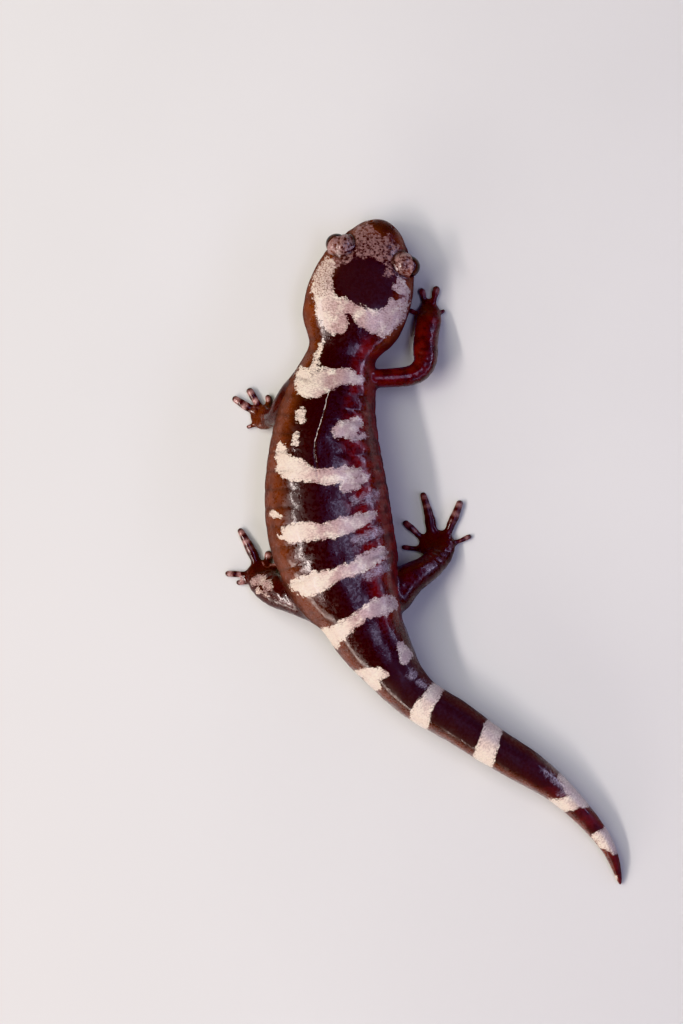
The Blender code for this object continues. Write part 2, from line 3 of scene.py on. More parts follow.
import bmesh
import bpy
import numpy as np
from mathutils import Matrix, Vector


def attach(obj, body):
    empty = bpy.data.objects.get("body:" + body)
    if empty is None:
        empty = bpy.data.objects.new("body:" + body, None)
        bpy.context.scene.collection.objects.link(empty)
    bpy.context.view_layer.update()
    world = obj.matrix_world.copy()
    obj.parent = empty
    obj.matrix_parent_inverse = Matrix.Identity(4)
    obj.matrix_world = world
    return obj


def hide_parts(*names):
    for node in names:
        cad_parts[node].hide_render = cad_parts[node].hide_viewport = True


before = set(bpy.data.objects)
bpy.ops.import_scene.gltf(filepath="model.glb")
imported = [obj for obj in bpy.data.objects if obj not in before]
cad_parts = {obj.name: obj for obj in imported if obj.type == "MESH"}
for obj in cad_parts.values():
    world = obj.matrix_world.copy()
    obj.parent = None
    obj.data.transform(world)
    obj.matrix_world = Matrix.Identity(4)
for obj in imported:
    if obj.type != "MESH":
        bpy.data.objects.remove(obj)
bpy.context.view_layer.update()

bl_info = {
    "name": "Marbled salamander",
    "version": (1, 0, 0),
    "blender": (4, 5, 0),
    "location": "3D Viewport > Sidebar > Salamander",
    "description": "Builds the skin and the eyes of a life-size marbled salamander, and a stage for it",
    "category": "Object",
}

# Lengths are in millimetres and turned to metres when the meshes are made.
# +Y is where the head points, +X is the animal's right, +Z is up and the floor is Z = 0.
MM = 0.001

# The middle of the animal's bounding box in the plan the sizes below were taken in.
BOX_CENTRE = (0.00, -0.03)

# Centre line in plan from the tip of the snout to the tip of the tail: X, Y.
CENTRE_LINE = (
    (-5.05, 41.75),
    (-7.05, 35.10),
    (-8.65, 30.40),
    (-10.15, 25.25),
    (-11.10, 21.50),
    (-11.75, 18.90),
    (-12.25, 15.40),
    (-12.40, 11.60),
    (-12.25, 7.90),
    (-12.00, 5.10),
    (-11.40, 1.60),
    (-10.40, -1.50),
    (-9.40, -4.40),
    (-8.15, -7.00),
    (-7.10, -9.60),
    (-5.60, -12.10),
    (-3.80, -14.80),
    (-0.75, -18.20),
    (3.45, -20.80),
    (7.80, -23.75),
    (12.95, -26.95),
    (17.35, -30.20),
    (21.00, -34.00),
    (22.80, -36.35),
    (24.00, -38.75),
    (24.90, -41.90),
)

# Girth along the centre line: distance from the snout, half width, half height, middle height.
GIRTH = (
    (0.00, 0.00, 0.00, 3.45),
    (0.44, 1.48, 0.85, 3.48),
    (1.10, 2.50, 1.35, 3.52),
    (2.25, 3.50, 1.92, 3.64),
    (3.80, 4.65, 2.50, 3.84),
    (5.60, 5.62, 2.92, 4.02),
    (8.75, 6.40, 3.20, 4.18),
    (10.70, 6.50, 3.30, 4.22),
    (12.60, 6.38, 3.30, 4.18),
    (14.50, 5.95, 3.18, 4.05),
    (15.60, 5.34, 3.08, 3.95),
    (16.60, 4.65, 3.00, 3.90),
    (17.30, 4.35, 3.05, 3.88),
    (19.00, 4.55, 3.35, 3.95),
    (21.10, 5.25, 3.85, 4.10),
    (23.80, 5.85, 4.40, 4.38),
    (27.40, 6.55, 4.95, 4.70),
    (31.10, 7.20, 5.25, 4.95),
    (34.90, 7.70, 5.35, 5.02),
    (37.60, 7.88, 5.35, 5.02),
    (41.20, 7.82, 5.30, 4.96),
    (44.50, 7.40, 5.20, 4.86),
    (47.50, 6.62, 5.05, 4.72),
    (50.40, 5.55, 4.80, 4.50),
    (53.20, 4.75, 4.50, 4.25),
    (56.10, 4.22, 4.25, 4.05),
    (59.40, 3.48, 3.85, 3.70),
    (63.90, 2.85, 3.50, 3.38),
    (68.90, 2.68, 3.30, 3.20),
    (74.10, 2.45, 3.10, 3.00),
    (80.20, 2.22, 2.80, 2.70),
    (85.70, 1.66, 2.25, 2.15),
    (91.10, 1.24, 1.72, 1.62),
    (93.90, 1.00, 1.34, 1.25),
    (96.70, 0.70, 0.95, 0.87),
    (98.60, 0.45, 0.60, 0.55),
    (99.90, 0.00, 0.00, 0.42),
)
TAIL_TIP = 99.90

# How square the body's sections are, across and up.
ACROSS_POWER = 2.3
UP_POWER = 2.2

# Rows of the body's grid: head, trunk and tail, and the columns around half of it.
HEAD_ROWS = 150
HEAD_REACH = 16.0
TRUNK_STEP = 0.2
TRUNK_REACH = 54.0
TAIL_ROWS = 150
HALF_COLUMNS = 64

# Grooves over the ribs between the legs.
GROOVE_FIRST = 22.0
GROOVE_COUNT = 12
GROOVE_SPACING = 2.08

# Groove along the back: distance from the snout and offset from the middle of the body.
BACK_GROOVE_LINE = (
    (19.0, -0.30), (24.0, -0.35), (27.0, -0.70), (29.5, -1.20), (32.0, -1.00), (35.0, -0.75),
    (42.0, -0.75), (48.0, -0.70), (54.0, 0.00),
)
CREASE_WIDTH = 0.14
CREASE_END = 31.0

# Painted highlight line beside that groove: offset from it, width, and distance of its end from the snout.
GLINT_LINE_OFFSET = -0.10
GLINT_LINE_WIDTH = 0.055
GLINT_LINE_END = 28.0

# Folds at the sides of the neck: distance from the snout and depth.
NECK_FOLDS = ((15.9, 0.07), (17.0, 0.05), (18.2, 0.04))

# Where the colours of the head and of the trunk fade out, each from and to a distance.
HEAD_END = (13.0, 17.0)
TRUNK_END = (50.0, 58.0)

# Mouth: distance of its corners from the snout, and heights of its line.
MOUTH_CORNER = 9.8
MOUTH_LINE = ((0.0, 2.95), (3.5, 2.85), (7.0, 3.05), (9.8, 3.70), (12.0, 3.90))

# Nostrils: distance from the snout, offset to the side, height and radius.
NOSTRIL_BACK = 0.62
NOSTRIL_SIDE = 1.45
NOSTRIL_HEIGHT = 4.25
NOSTRIL_RADIUS = 0.17

# Eyes: distance from the snout, offset to the side, height, radius, and turn forward and upward.
EYE_BACK = 4.80
EYE_SIDE = 4.70
EYE_HEIGHT = 5.50
EYE_RADIUS = 1.36
GAZE_TURN = (0.20, 0.15)

# Dome of the upper lid: offset to the side, height, and half sizes along, across and up. Rim that
# hugs the eyeball, gap round the eyeball, and how far and how wide the cornea stands out.
DOME_SIDE = 3.92
DOME_HEIGHT = 5.15
DOME_SIZE = (1.70, 1.60, 2.00)
RIM_THICKNESS = 0.10
RIM_INSET = 0.03
SOCKET_GAP = 0.02
CORNEA_RISE = 0.035
CORNEA_WIDTH = 0.75

# Where the pupil and the iris end, as angles from the gaze in radians.
PUPIL_EDGE = (0.43, 0.49)
IRIS_EDGE = (0.94, 1.06)

# Opening between the lids: reach outward from the eye's middle, half sizes across, outward and up,
# and turns forward and upward of the left and of the right one.
OPENING_REACH = 1.68
OPENING_SIZE = (3.20, 1.58, 1.12)
OPENING_TURN = {-1.0: (0.75, 0.04), 1.0: (0.24, 0.26)}

# Legs: rows of X, Y, Z, half width and half height from inside the body to the wrist or ankle.
FORELEG_RIGHT = (
    (-7.30, 21.80, 4.20, 1.26, 1.70),
    (-4.90, 21.90, 3.95, 1.18, 1.50),
    (-2.50, 22.08, 3.65, 1.24, 1.37),
    (-0.75, 22.65, 3.35, 1.34, 1.36),
    (0.15, 23.90, 3.00, 1.46, 1.42),
    (0.25, 25.60, 2.50, 1.56, 1.42),
    (0.45, 27.80, 1.80, 1.54, 1.20),
    (0.68, 29.40, 1.20, 1.58, 0.98),
)
FORELEG_LEFT = (
    (-14.00, 22.90, 4.30, 1.35, 1.60),
    (-15.90, 21.30, 4.50, 1.20, 1.35),
    (-17.20, 19.70, 4.65, 1.13, 1.22),
    (-17.90, 18.40, 4.45, 1.10, 1.16),
    (-18.40, 17.50, 3.60, 1.12, 1.12),
    (-18.90, 17.15, 2.40, 1.16, 1.08),
    (-19.55, 17.00, 1.35, 1.42, 0.95),
)
HINDLEG_RIGHT = (
    (-5.80, -6.30, 4.20, 3.10, 2.80),
    (-3.85, -4.95, 3.90, 2.75, 2.45),
    (-2.25, -3.65, 3.60, 2.25, 2.08),
    (-0.75, -2.70, 3.10, 1.85, 1.80),
    (0.70, -1.80, 2.40, 1.66, 1.50),
    (1.70, -0.55, 1.55, 1.80, 1.15),
)
HINDLEG_LEFT = (
    (-11.60, -8.20, 4.10, 1.95, 2.30),
    (-13.60, -7.20, 3.90, 1.72, 2.00),
    (-15.40, -6.45, 3.60, 1.58, 1.75),
    (-17.30, -5.40, 3.10, 1.92, 1.60),
    (-18.90, -4.60, 2.45, 2.02, 1.42),
    (-20.00, -3.65, 1.60, 2.00, 1.12),
)

# Hands and feet: the same rows, going on from the wrist or ankle to the roots of the toes.
HAND_RIGHT = (
    (0.75, 30.25, 0.80, 1.44, 0.78),
    (0.75, 31.05, 0.55, 1.18, 0.56),
    (0.75, 31.70, 0.42, 0.78, 0.36),
)
HAND_LEFT = (
    (-20.25, 17.10, 0.80, 1.58, 0.76),
    (-20.85, 17.35, 0.55, 1.38, 0.55),
    (-21.35, 17.65, 0.42, 0.75, 0.36),
)
FOOT_RIGHT = (
    (1.75, 0.55, 0.90, 2.35, 0.85),
    (1.50, 1.60, 0.58, 2.15, 0.56),
    (1.35, 2.40, 0.42, 1.35, 0.38),
)
FOOT_LEFT = (
    (-20.35, -2.90, 0.95, 2.00, 0.86),
    (-20.40, -2.05, 0.60, 1.80, 0.58),
    (-20.35, -1.40, 0.42, 1.15, 0.38),
)

# Toes, counted from the one nearest the body: rows of X, Y and half width from root to tip.
TOES_HAND_RIGHT = (
    ((0.20, 29.60, 0.60), (-1.75, 30.70, 0.36)),
    ((0.45, 30.60, 0.66), (-0.25, 33.35, 0.38)),
    ((1.10, 30.60, 0.70), (1.75, 33.65, 0.40)),
    ((1.30, 29.70, 0.60), (2.75, 30.65, 0.36)),
)
TOES_HAND_LEFT = (
    ((-19.70, 17.70, 0.62), (-19.55, 19.95, 0.38)),
    ((-20.35, 17.80, 0.68), (-21.20, 19.30, 0.52), (-22.10, 20.75, 0.42)),
    ((-20.80, 17.50, 0.74), (-22.60, 18.65, 0.52), (-24.05, 19.60, 0.40)),
    ((-20.20, 16.60, 0.72), (-22.30, 15.75, 0.36)),
)
TOES_FOOT_RIGHT = (
    ((0.60, 0.35, 0.62), (-2.70, 0.70, 0.37)),
    ((0.60, 1.10, 0.66), (-2.45, 3.95, 0.37)),
    ((1.20, 1.40, 1.00), (0.95, 3.60, 0.72), (0.45, 5.80, 0.50), (-0.10, 7.60, 0.38)),
    ((2.50, 1.20, 0.95), (3.60, 3.60, 0.64), (4.75, 6.60, 0.42)),
    ((2.60, 0.50, 0.75), (4.20, 1.30, 0.50), (6.10, 2.15, 0.36)),
)
TOES_FOOT_LEFT = (
    ((-19.20, -3.00, 0.80), (-18.30, -0.95, 0.44)),
    ((-19.95, -2.30, 0.88), (-19.40, 0.25, 0.42)),
    ((-20.85, -2.00, 0.95), (-22.00, 0.80, 0.60), (-23.25, 3.05, 0.36)),
    ((-21.10, -2.90, 0.85), (-23.00, -2.72, 0.58), (-25.00, -2.65, 0.36)),
    ((-21.10, -3.50, 0.70), (-23.60, -3.80, 0.37)),
)

# A toe is less high than wide where it is wider than this half width; length of its round tip.
TOE_FLAT = 0.45
TOE_ROUNDING = 0.40
TOE_ROWS = 40
TOE_COLUMNS = 18
LEG_ROWS = 84
LEG_COLUMNS = 44

# Each leg: its rows, the rows of its hand or foot, its toes, and how light the rings of the toes are.
LIMBS = (
    ("foreleg_right", FORELEG_RIGHT, HAND_RIGHT, TOES_HAND_RIGHT, 0.40),
    ("foreleg_left", FORELEG_LEFT, HAND_LEFT, TOES_HAND_LEFT, 1.0),
    ("hindleg_right", HINDLEG_RIGHT, FOOT_RIGHT, TOES_FOOT_RIGHT, 0.55),
    ("hindleg_left", HINDLEG_LEFT, FOOT_LEFT, TOES_FOOT_LEFT, 0.9),
)

# Marks as strokes seen from above: rows of X, Y and half width along each stroke.
PALE_MARKS = (
    # head, left arm of the crescent
    (
        (-11.75, 36.38, 0.56), (-12.25, 35.38, 1.00), (-12.62, 34.25, 1.25), (-12.88, 32.88, 1.19),
        (-12.38, 31.75, 1.50), (-11.62, 30.25, 1.88), (-11.12, 29.12, 1.62), (-10.75, 28.38, 1.12),
    ),
    # head, bridge
    ((-10.12, 30.88, 1.00), (-8.88, 30.50, 0.81), (-7.75, 30.00, 0.88)),
    # head, right lobe
    ((-7.75, 29.50, 1.12), (-6.25, 29.00, 1.50), (-5.00, 28.50, 1.38)),
    # head, right arm
    (
        (-5.12, 28.88, 1.50), (-3.75, 29.75, 1.38), (-3.12, 31.25, 1.25), (-2.88, 32.75, 1.12),
        (-3.00, 33.88, 0.69),
    ),
    # shoulders
    (
        (-15.00, 22.12, 1.12), (-14.75, 20.62, 1.38), (-13.75, 20.88, 1.62), (-12.38, 21.62, 1.50),
        (-10.75, 22.00, 1.19), (-9.25, 22.00, 1.00), (-8.12, 21.62, 0.69),
    ),
    # neck streak: a pale mark with a painted highlight along it
    ((-12.75, 26.62, 0.22), (-12.95, 25.75, 0.34), (-13.30, 24.62, 0.42), (-13.85, 22.75, 0.62)),
    # left spot 1
    ((-15.38, 17.62, 0.56), (-15.50, 16.62, 0.56)),
    # left spot 2
    ((-16.12, 14.62, 0.38), (-16.12, 13.75, 0.44)),
    # right spot
    ((-10.38, 15.38, 1.06), (-9.25, 15.50, 1.25), (-8.62, 16.00, 1.00)),
    # right spot tail
    ((-8.88, 14.25, 0.38), (-7.50, 14.62, 0.44)),
    # second band
    (
        (-17.88, 13.38, 0.56), (-17.62, 11.88, 1.00), (-17.12, 10.62, 1.31), (-15.50, 10.25, 1.38),
        (-13.75, 9.62, 0.81), (-11.75, 9.50, 1.12), (-9.88, 9.75, 1.06), (-8.25, 10.00, 0.62),
    ),
    # second band, right end
    ((-10.00, 8.38, 0.75), (-8.50, 8.75, 0.88), (-7.12, 9.50, 0.38)),
    # third band
    (
        (-18.12, 2.00, 0.31), (-17.50, 2.00, 0.56), (-16.62, 2.50, 1.19), (-14.88, 2.75, 1.31),
        (-12.75, 2.62, 1.00), (-10.75, 3.12, 1.25), (-9.00, 3.62, 1.12), (-7.25, 4.38, 0.81),
        (-6.38, 5.00, 0.50),
    ),
    # third band, left spots
    ((-19.00, 4.75, 0.38), (-17.88, 4.62, 0.31)),
    # fourth band
    (
        (-16.00, -4.00, 0.81), (-14.75, -4.12, 1.38), (-13.25, -3.62, 1.38), (-11.12, -2.75, 0.94),
        (-9.25, -2.12, 1.00), (-7.25, -1.12, 1.00), (-5.50, -0.12, 0.88),
    ),
    # fifth band
    (
        (-12.38, -9.88, 0.50), (-11.50, -10.38, 1.00), (-10.50, -9.88, 1.06), (-9.25, -8.88, 0.81),
        (-8.00, -8.00, 0.81), (-6.75, -7.25, 1.00), (-5.50, -6.75, 1.25), (-4.50, -6.25, 1.12),
    ),
    # fifth band, left foot
    ((-11.38, -10.62, 0.88), (-11.00, -11.50, 0.44)),
    # tail base, left
    ((-8.25, -15.00, 0.44), (-6.88, -15.12, 0.88), (-5.75, -15.12, 0.88), (-4.75, -15.12, 0.38)),
    # tail base, left foot
    ((-6.50, -15.88, 1.00), (-6.00, -16.62, 0.62)),
    # tail base, right
    ((-3.00, -11.38, 0.44), (-2.25, -12.75, 0.88), (-2.50, -13.38, 0.62)),
    # first tail band
    (
        (2.12, -16.38, 0.81), (1.50, -17.12, 0.94), (0.75, -18.12, 1.00), (0.00, -19.25, 1.19),
        (-0.50, -20.50, 1.31), (-0.62, -22.00, 1.12),
    ),
    # second tail band
    ((8.62, -21.88, 1.25), (8.12, -23.62, 1.31), (7.38, -25.88, 1.38)),
    # third tail band
    ((17.00, -27.88, 0.38), (18.00, -29.12, 0.69), (19.25, -30.50, 0.88), (20.00, -31.38, 0.62)),
    # third tail band, lower
    ((15.62, -31.25, 0.50), (16.75, -31.62, 0.88), (18.25, -31.25, 1.00), (19.50, -31.12, 0.75)),
    # fourth tail band
    ((21.50, -35.50, 0.55), (22.90, -34.95, 0.75), (23.10, -35.80, 0.80)),
    # fourth tail band, lower
    ((22.30, -36.25, 0.68), (23.20, -36.30, 0.90), (23.85, -36.95, 0.72)),
    # tail tip spot
    ((24.00, -40.50, 0.19), (24.00, -40.75, 0.19)),
    # left foot
    ((-21.12, -3.62, 0.44), (-20.25, -3.38, 0.75), (-19.50, -4.25, 0.62)),
    # left shank
    ((-20.75, -4.62, 0.31), (-19.75, -5.38, 0.25)),
)
# Partly painted reflection: these dusty marks also stand in for bluish glints of light on the skin.
DUST_AND_GLINT_MARKS = (
    # right of the second band
    ((-6.25, 7.12, 0.62), (-8.75, 6.50, 0.44)),
    # right of the third band
    ((-5.75, 2.75, 0.69), (-8.25, 1.50, 0.50)),
    # right of the fourth band
    ((-4.88, -1.75, 0.62), (-7.00, -2.88, 0.56)),
    # right of the tail base
    ((-1.50, -15.00, 0.44), (-1.62, -15.38, 0.38)),
    # before the first tail band
    ((-0.75, -15.88, 0.19), (0.12, -16.62, 0.38)),
    # before the third tail band
    ((14.88, -27.12, 0.12), (16.00, -27.75, 0.23), (16.88, -29.00, 0.28), (17.38, -30.00, 0.38)),
)

# Freckled grey patches of the head, marks thick with dark flecks, dark notches in the pale marks,
# the black crown and the dark blotch of the snout.
SPECKLED_MARKS = (
    # snout, left
    ((-8.00, 40.25, 0.75), (-7.50, 39.00, 1.25), (-7.62, 37.75, 0.88)),
    # snout, middle
    ((-7.00, 40.00, 0.88), (-6.20, 38.60, 1.55), (-5.00, 38.10, 1.55)),
    # snout, right
    ((-4.62, 38.20, 1.10), (-3.70, 38.10, 0.70), (-3.25, 37.40, 0.50)),
    # behind the left eye
    ((-9.12, 37.62, 0.44), (-10.00, 36.75, 0.56), (-11.38, 36.50, 0.62)),
    # inside the right eye
    ((-4.12, 37.88, 0.62), (-4.50, 36.38, 0.62), (-4.25, 35.00, 0.62)),
)
FLECKED_MARKS = (
    # left arm of the crescent
    ((-11.75, 36.38, 1.00), (-12.50, 34.62, 1.62), (-12.75, 32.88, 1.12)),
    # right arm of the crescent
    ((-3.00, 33.88, 1.00), (-2.75, 32.12, 1.25), (-2.50, 30.38, 1.00)),
    # left foot
    ((-21.12, -3.62, 1.00), (-19.50, -4.25, 1.12), (-19.75, -5.38, 0.62)),
    # bands' right ends
    ((-5.12, 0.00, 0.38), (-4.25, -5.88, 0.50)),
)
NOTCHES = (
    # right arm of the crescent
    ((-3.80, 32.40, 0.25), (-3.30, 32.00, 0.40), (-2.70, 32.15, 0.20)),
)
CROWN = (
    # black of the crown
    ((-8.40, 34.60, 2.40), (-6.60, 33.20, 2.60)),
)
BLOTCH = (
    # front of the snout
    ((-6.75, 41.50, 0.62), (-5.38, 41.38, 0.94), (-4.12, 40.38, 0.75)),
)

# Camera above the animal, in millimetres, its lens, and the height at which the marks are drawn.
CAMERA_PLACE = np.array((-10.31, 5.155, 455.0))
CAMERA_LENS = 126.6
MARK_HEIGHT = 4.9

# Lights: lean from straight up and heading in degrees, distance and size in metres, and what shows
# them: the skin's colours ("diffuse"), its glints ("glossy") or both.
LIGHTS = (
    ("key", (44.0, 192.0, 0.50), (0.34, 0.034), "both"),
    ("fill", (38.0, 150.0, 0.60), (0.45, 0.45), "diffuse"),
    ("sky", (17.0, 2.0, 0.45), (0.34, 0.13), "both"),
    ("low", (74.0, 228.0, 0.40), (0.30, 0.08), "both"),
    ("sheen", (49.0, 212.0, 0.50), (0.20, 0.17), "both"),
    ("rim", (62.0, 340.0, 0.45), (0.66, 0.07), "both"),
    ("hip", (57.0, 206.0, 0.45), (0.05, 0.055), "glossy"),
    ("fore", (66.0, 34.0, 0.45), (0.36, 0.08), "glossy"),
)
LIGHT_AIM = (0.0, 0.0, 0.003)
DARK_LEVEL = (0.002, 0.003, 0.004)
FLOOR_SIZE = 3.0
FLOOR_DROP = 0.00002
LEAST_SKIN_FACES = 60000

# Patterns of the skin, in waves or cells to the metre.
MOTTLE_SCALE = 700.0
FLECK_SCALE = 5200.0
STREAK_SCALE = 5600.0
NET_SCALE = 2500.0
VEIL_SCALE = 2600.0
DOT_SCALE = 2600.0
# Dashes of the painted highlight line beside the groove of the back.
GLINT_DASH_SCALE = 2600.0
SPECK_SCALE = 4100.0
GRAIN_SCALE = 2600.0
GLOSS_SCALE = 2400.0
WET_SCALE = 420.0

# Brown of the palms, most on the floor and least above it, and maroon of the legs.
PALM_BROWN = (("foreleg_left", 0.52, 0.02), ("foreleg_right", 0.05, 0.0), ("hindleg", 0.05, 0.0))
LEG_RED = (("foreleg_right", 0.60), ("foreleg_left", 0.15), ("hindleg", 0.16))

# Distances between the folds of skin where a leg bends, and between the joints and rings of a toe.
FOLD_SPACING = 0.75
RING_SPACING = 1.2

# Rows and columns of the balls of the lids, the sockets, the lid openings and the eyeballs.
LID_GRID = (40, 56)
SOCKET_GRID = (56, 72)
OPENING_GRID = (64, 96)
EYE_GRID = (56, 64)

# Joins of the skin: gap across which points merge, and rounds of smoothing.
MERGE_GAP = 0.004
RELAX_ROUNDS = 30

# Points along the centre line in a search for the nearest, and points looked up at a time.
LINE_SAMPLES = 1400
SLICE = 20000

FLESH_NODES = (
    "head", "neck", "torso", "hips", "tail_root", "tail_middle", "tail_end",
    "upper_arm_right", "forearm_right", "hand_right", "upper_arm_left", "forearm_left", "hand_left",
    "thigh_right", "shank_right", "foot_right", "thigh_left", "shank_left", "foot_left",
)


# Curves

def natural_spline(knots, values, at):
    """Cubic curve through the values at the knots, with no bend at either end."""
    knots = np.asarray(knots, float)
    values = np.asarray(values, float)
    at = np.asarray(at, float)
    count = len(knots)
    step = np.diff(knots)
    slope = np.diff(values) / step
    inner = np.arange(1, count - 1)
    matrix = np.eye(count)
    matrix[inner, inner - 1] = step[:-1]
    matrix[inner, inner] = 2.0 * (step[:-1] + step[1:])
    matrix[inner, inner + 1] = step[1:]
    right = np.zeros(count)
    right[inner] = 6.0 * np.diff(slope)
    bend = np.linalg.solve(matrix, right)
    cell = np.clip(np.searchsorted(knots, at) - 1, 0, count - 2)
    width = step[cell]
    a = (knots[cell + 1] - at) / width
    b = (at - knots[cell]) / width
    curve = a * values[cell] + b * values[cell + 1]
    return curve + ((a ** 3 - a) * bend[cell] + (b ** 3 - b) * bend[cell + 1]) * width ** 2 / 6.0


def chord_lengths(points):
    """Distance along a chain of points, starting at nought."""
    steps = np.linalg.norm(np.diff(np.asarray(points, float), axis=0), axis=1)
    return np.concatenate(([0.0], np.cumsum(steps)))


def smooth_step(low, high, value):
    """Nought below low, one above high, and 3 t^2 - 2 t^3 between them."""
    share = np.clip((value - low) / (high - low), 0.0, 1.0)
    return share * share * (3.0 - 2.0 * share)


def hump(value, width):
    """Bell curve exp(-(value / width)^2)."""
    return np.exp(-(value / width) ** 2)


# The body

def centre_line(distance):
    """Plan position and headward direction at distances from the snout: a cubic curve and its chord."""
    knots = chord_lengths(CENTRE_LINE)
    table = np.asarray(CENTRE_LINE, float)
    distance = np.clip(np.asarray(distance, float), 0.0, knots[-1])
    x = natural_spline(knots, table[:, 0], distance) - BOX_CENTRE[0]
    y = natural_spline(knots, table[:, 1], distance) - BOX_CENTRE[1]
    ahead = np.clip(distance - 0.05, 0.0, knots[-1] - 0.1)
    run_x = natural_spline(knots, table[:, 0], ahead) - natural_spline(knots, table[:, 0], ahead + 0.1)
    run_y = natural_spline(knots, table[:, 1], ahead) - natural_spline(knots, table[:, 1], ahead + 0.1)
    length = np.hypot(run_x, run_y)
    return x, y, run_x / length, run_y / length


def girth(distance):
    """Half width, half height and middle height: the half sizes are roots of splined squares."""
    table = np.asarray(GIRTH, float)
    distance = np.clip(np.asarray(distance, float), 0.0, TAIL_TIP)
    width = np.sqrt(np.maximum(natural_spline(table[:, 0], table[:, 1] ** 2, distance), 0.0))
    height = np.sqrt(np.maximum(natural_spline(table[:, 0], table[:, 2] ** 2, distance), 0.0))
    middle = natural_spline(table[:, 0], table[:, 3], distance)
    return width, height, middle


def head_point(back, side, height):
    """Place a point by its distance behind the snout, its offset to the right and its height."""
    x, y, head_x, head_y = centre_line(np.array([back]))
    return np.array([x[0] + side * head_y[0], y[0] - side * head_x[0], height])


def head_axes():
    """Forward, right and upward directions of the head at the eyes, as three rows."""
    _, _, head_x, head_y = centre_line(np.array([EYE_BACK]))
    forward = np.array([head_x[0], head_y[0], 0.0])
    right = np.array([head_y[0], -head_x[0], 0.0])
    return np.stack((forward, right, np.array([0.0, 0.0, 1.0])))


def mouth_height(distance):
    """Height of the line of the mouth at distances from the snout: a cubic curve."""
    table = np.asarray(MOUTH_LINE, float)
    return natural_spline(table[:, 0], table[:, 1], np.clip(distance, 0.0, table[-1, 0]))


def body_stations():
    """Distances of the body's rings: closer at the snout and the tail's tip, even on the trunk."""
    head = HEAD_REACH * (np.arange(2, HEAD_ROWS + 1) / HEAD_ROWS) ** 1.5
    trunk = np.arange(HEAD_REACH + TRUNK_STEP, TRUNK_REACH, TRUNK_STEP)
    share = np.linspace(0.0, 1.0, TAIL_ROWS + 1)[:-1]
    tail = TRUNK_REACH + (TAIL_TIP - TRUNK_REACH) * (1.0 - (1.0 - share) ** 1.3)
    return np.concatenate((head, trunk, tail))


def ring_angles(distance, height, middle):
    """Angles of the columns, from the back at nought down to the belly at pi.

    On the head the columns gather at the line of the mouth: above it the angle is
    m (1 - (1 - v / v_m)^p), below it m + (pi - m) ((v - v_m) / (1 - v_m))^p, where m is the
    angle of the mouth, v the column's share of the way down and v_m = m / pi. p falls from
    1.5 to 1 behind the mouth, where the columns are even.
    """
    rise = np.clip((mouth_height(distance) - middle) / height, -0.995, 0.995)
    mouth = np.arccos(np.sign(rise) * np.abs(rise) ** (UP_POWER / 2.0))
    mouth = np.minimum(mouth, 0.93 * math.pi)[:, None]
    power = (1.5 - 0.5 * smooth_step(9.5, 14.0, distance))[:, None]
    share = (np.arange(HALF_COLUMNS + 1) / HALF_COLUMNS)[None, :]
    split = mouth / math.pi
    above = mouth * (1.0 - np.maximum(1.0 - share / split, 0.0) ** power)
    below = mouth + (math.pi - mouth) * np.maximum((share - split) / (1.0 - split), 0.0) ** power
    half = np.where(share < split, above, below)
    return np.concatenate((half[:, :-1], -half[:, :0:-1]), axis=1)


def waviness(points):
    """Low uneven swell of the skin: a sum of sines across the body in six directions."""
    turns = np.array([0.3, 1.4, 2.5, 3.3, 4.6, 5.7])
    lengths = np.array([1.7, 2.3, 3.1, 1.3, 4.2, 2.7])
    tilt = np.array([0.9, -0.6, 0.4, 0.8, -0.3, 0.5])
    phase = (
        points[..., 0:1] * np.cos(turns) + points[..., 1:2] * np.sin(turns) + points[..., 2:3] * tilt
    ) * 2.0 * math.pi / lengths
    return np.sin(phase + turns * 7.0).sum(axis=-1) / len(turns)


def rib_grooves(distance, width):
    """Bell curves of a width, one on each rib groove, faded in and out at the first and last."""
    phase = (distance - GROOVE_FIRST) / GROOVE_SPACING
    inside = smooth_step(-0.6, 0.0, phase)
    inside = inside * (1.0 - smooth_step(GROOVE_COUNT - 1.0, GROOVE_COUNT - 0.4, phase))
    return inside * hump((phase - np.round(phase)) * GROOVE_SPACING, width)


def back_groove(distance):
    """Offset to the right of the groove of the back at distances from the snout: a cubic curve."""
    table = np.asarray(BACK_GROOVE_LINE, float)
    return natural_spline(table[:, 0], table[:, 1], np.clip(distance, table[0, 0], table[-1, 0]))


def mouth_relief(points, distance):
    """Line of the mouth, with the upper lip swelling over it and a dip under the lower lip."""
    depth = bpy.context.scene.salamander_shape.mouth_depth / MM
    above = points[..., 2] - mouth_height(distance)
    gape = 1.0 - smooth_step(MOUTH_CORNER - 1.3, MOUTH_CORNER, distance)
    lips = 0.05 * hump(above - 0.30, 0.20) - 0.07 * hump(above + 0.35, 0.32)
    return gape * (lips - depth * hump(above, 0.075))


def nostril_gap(points, side):
    """Distance of points from the middle of a nostril."""
    return np.linalg.norm(points - head_point(NOSTRIL_BACK, side * NOSTRIL_SIDE, NOSTRIL_HEIGHT), axis=-1)


def nostril_and_lid_relief(points):
    """Pits of the nostrils with raised edges, and the creases round the domes of the lids."""
    relief = np.zeros(points.shape[:-1])
    for side in (-1.0, 1.0):
        away = nostril_gap(points, side)
        relief += 0.035 * hump(away - 0.36, 0.14) - 0.24 * hump(away, NOSTRIL_RADIUS)
        away = ball_gap(points.reshape(-1, 3), *lid_dome(side)).reshape(relief.shape)
        relief += 0.05 * hump(away - 0.60, 0.24) - 0.17 * hump(away - 0.05, 0.22)
    return relief


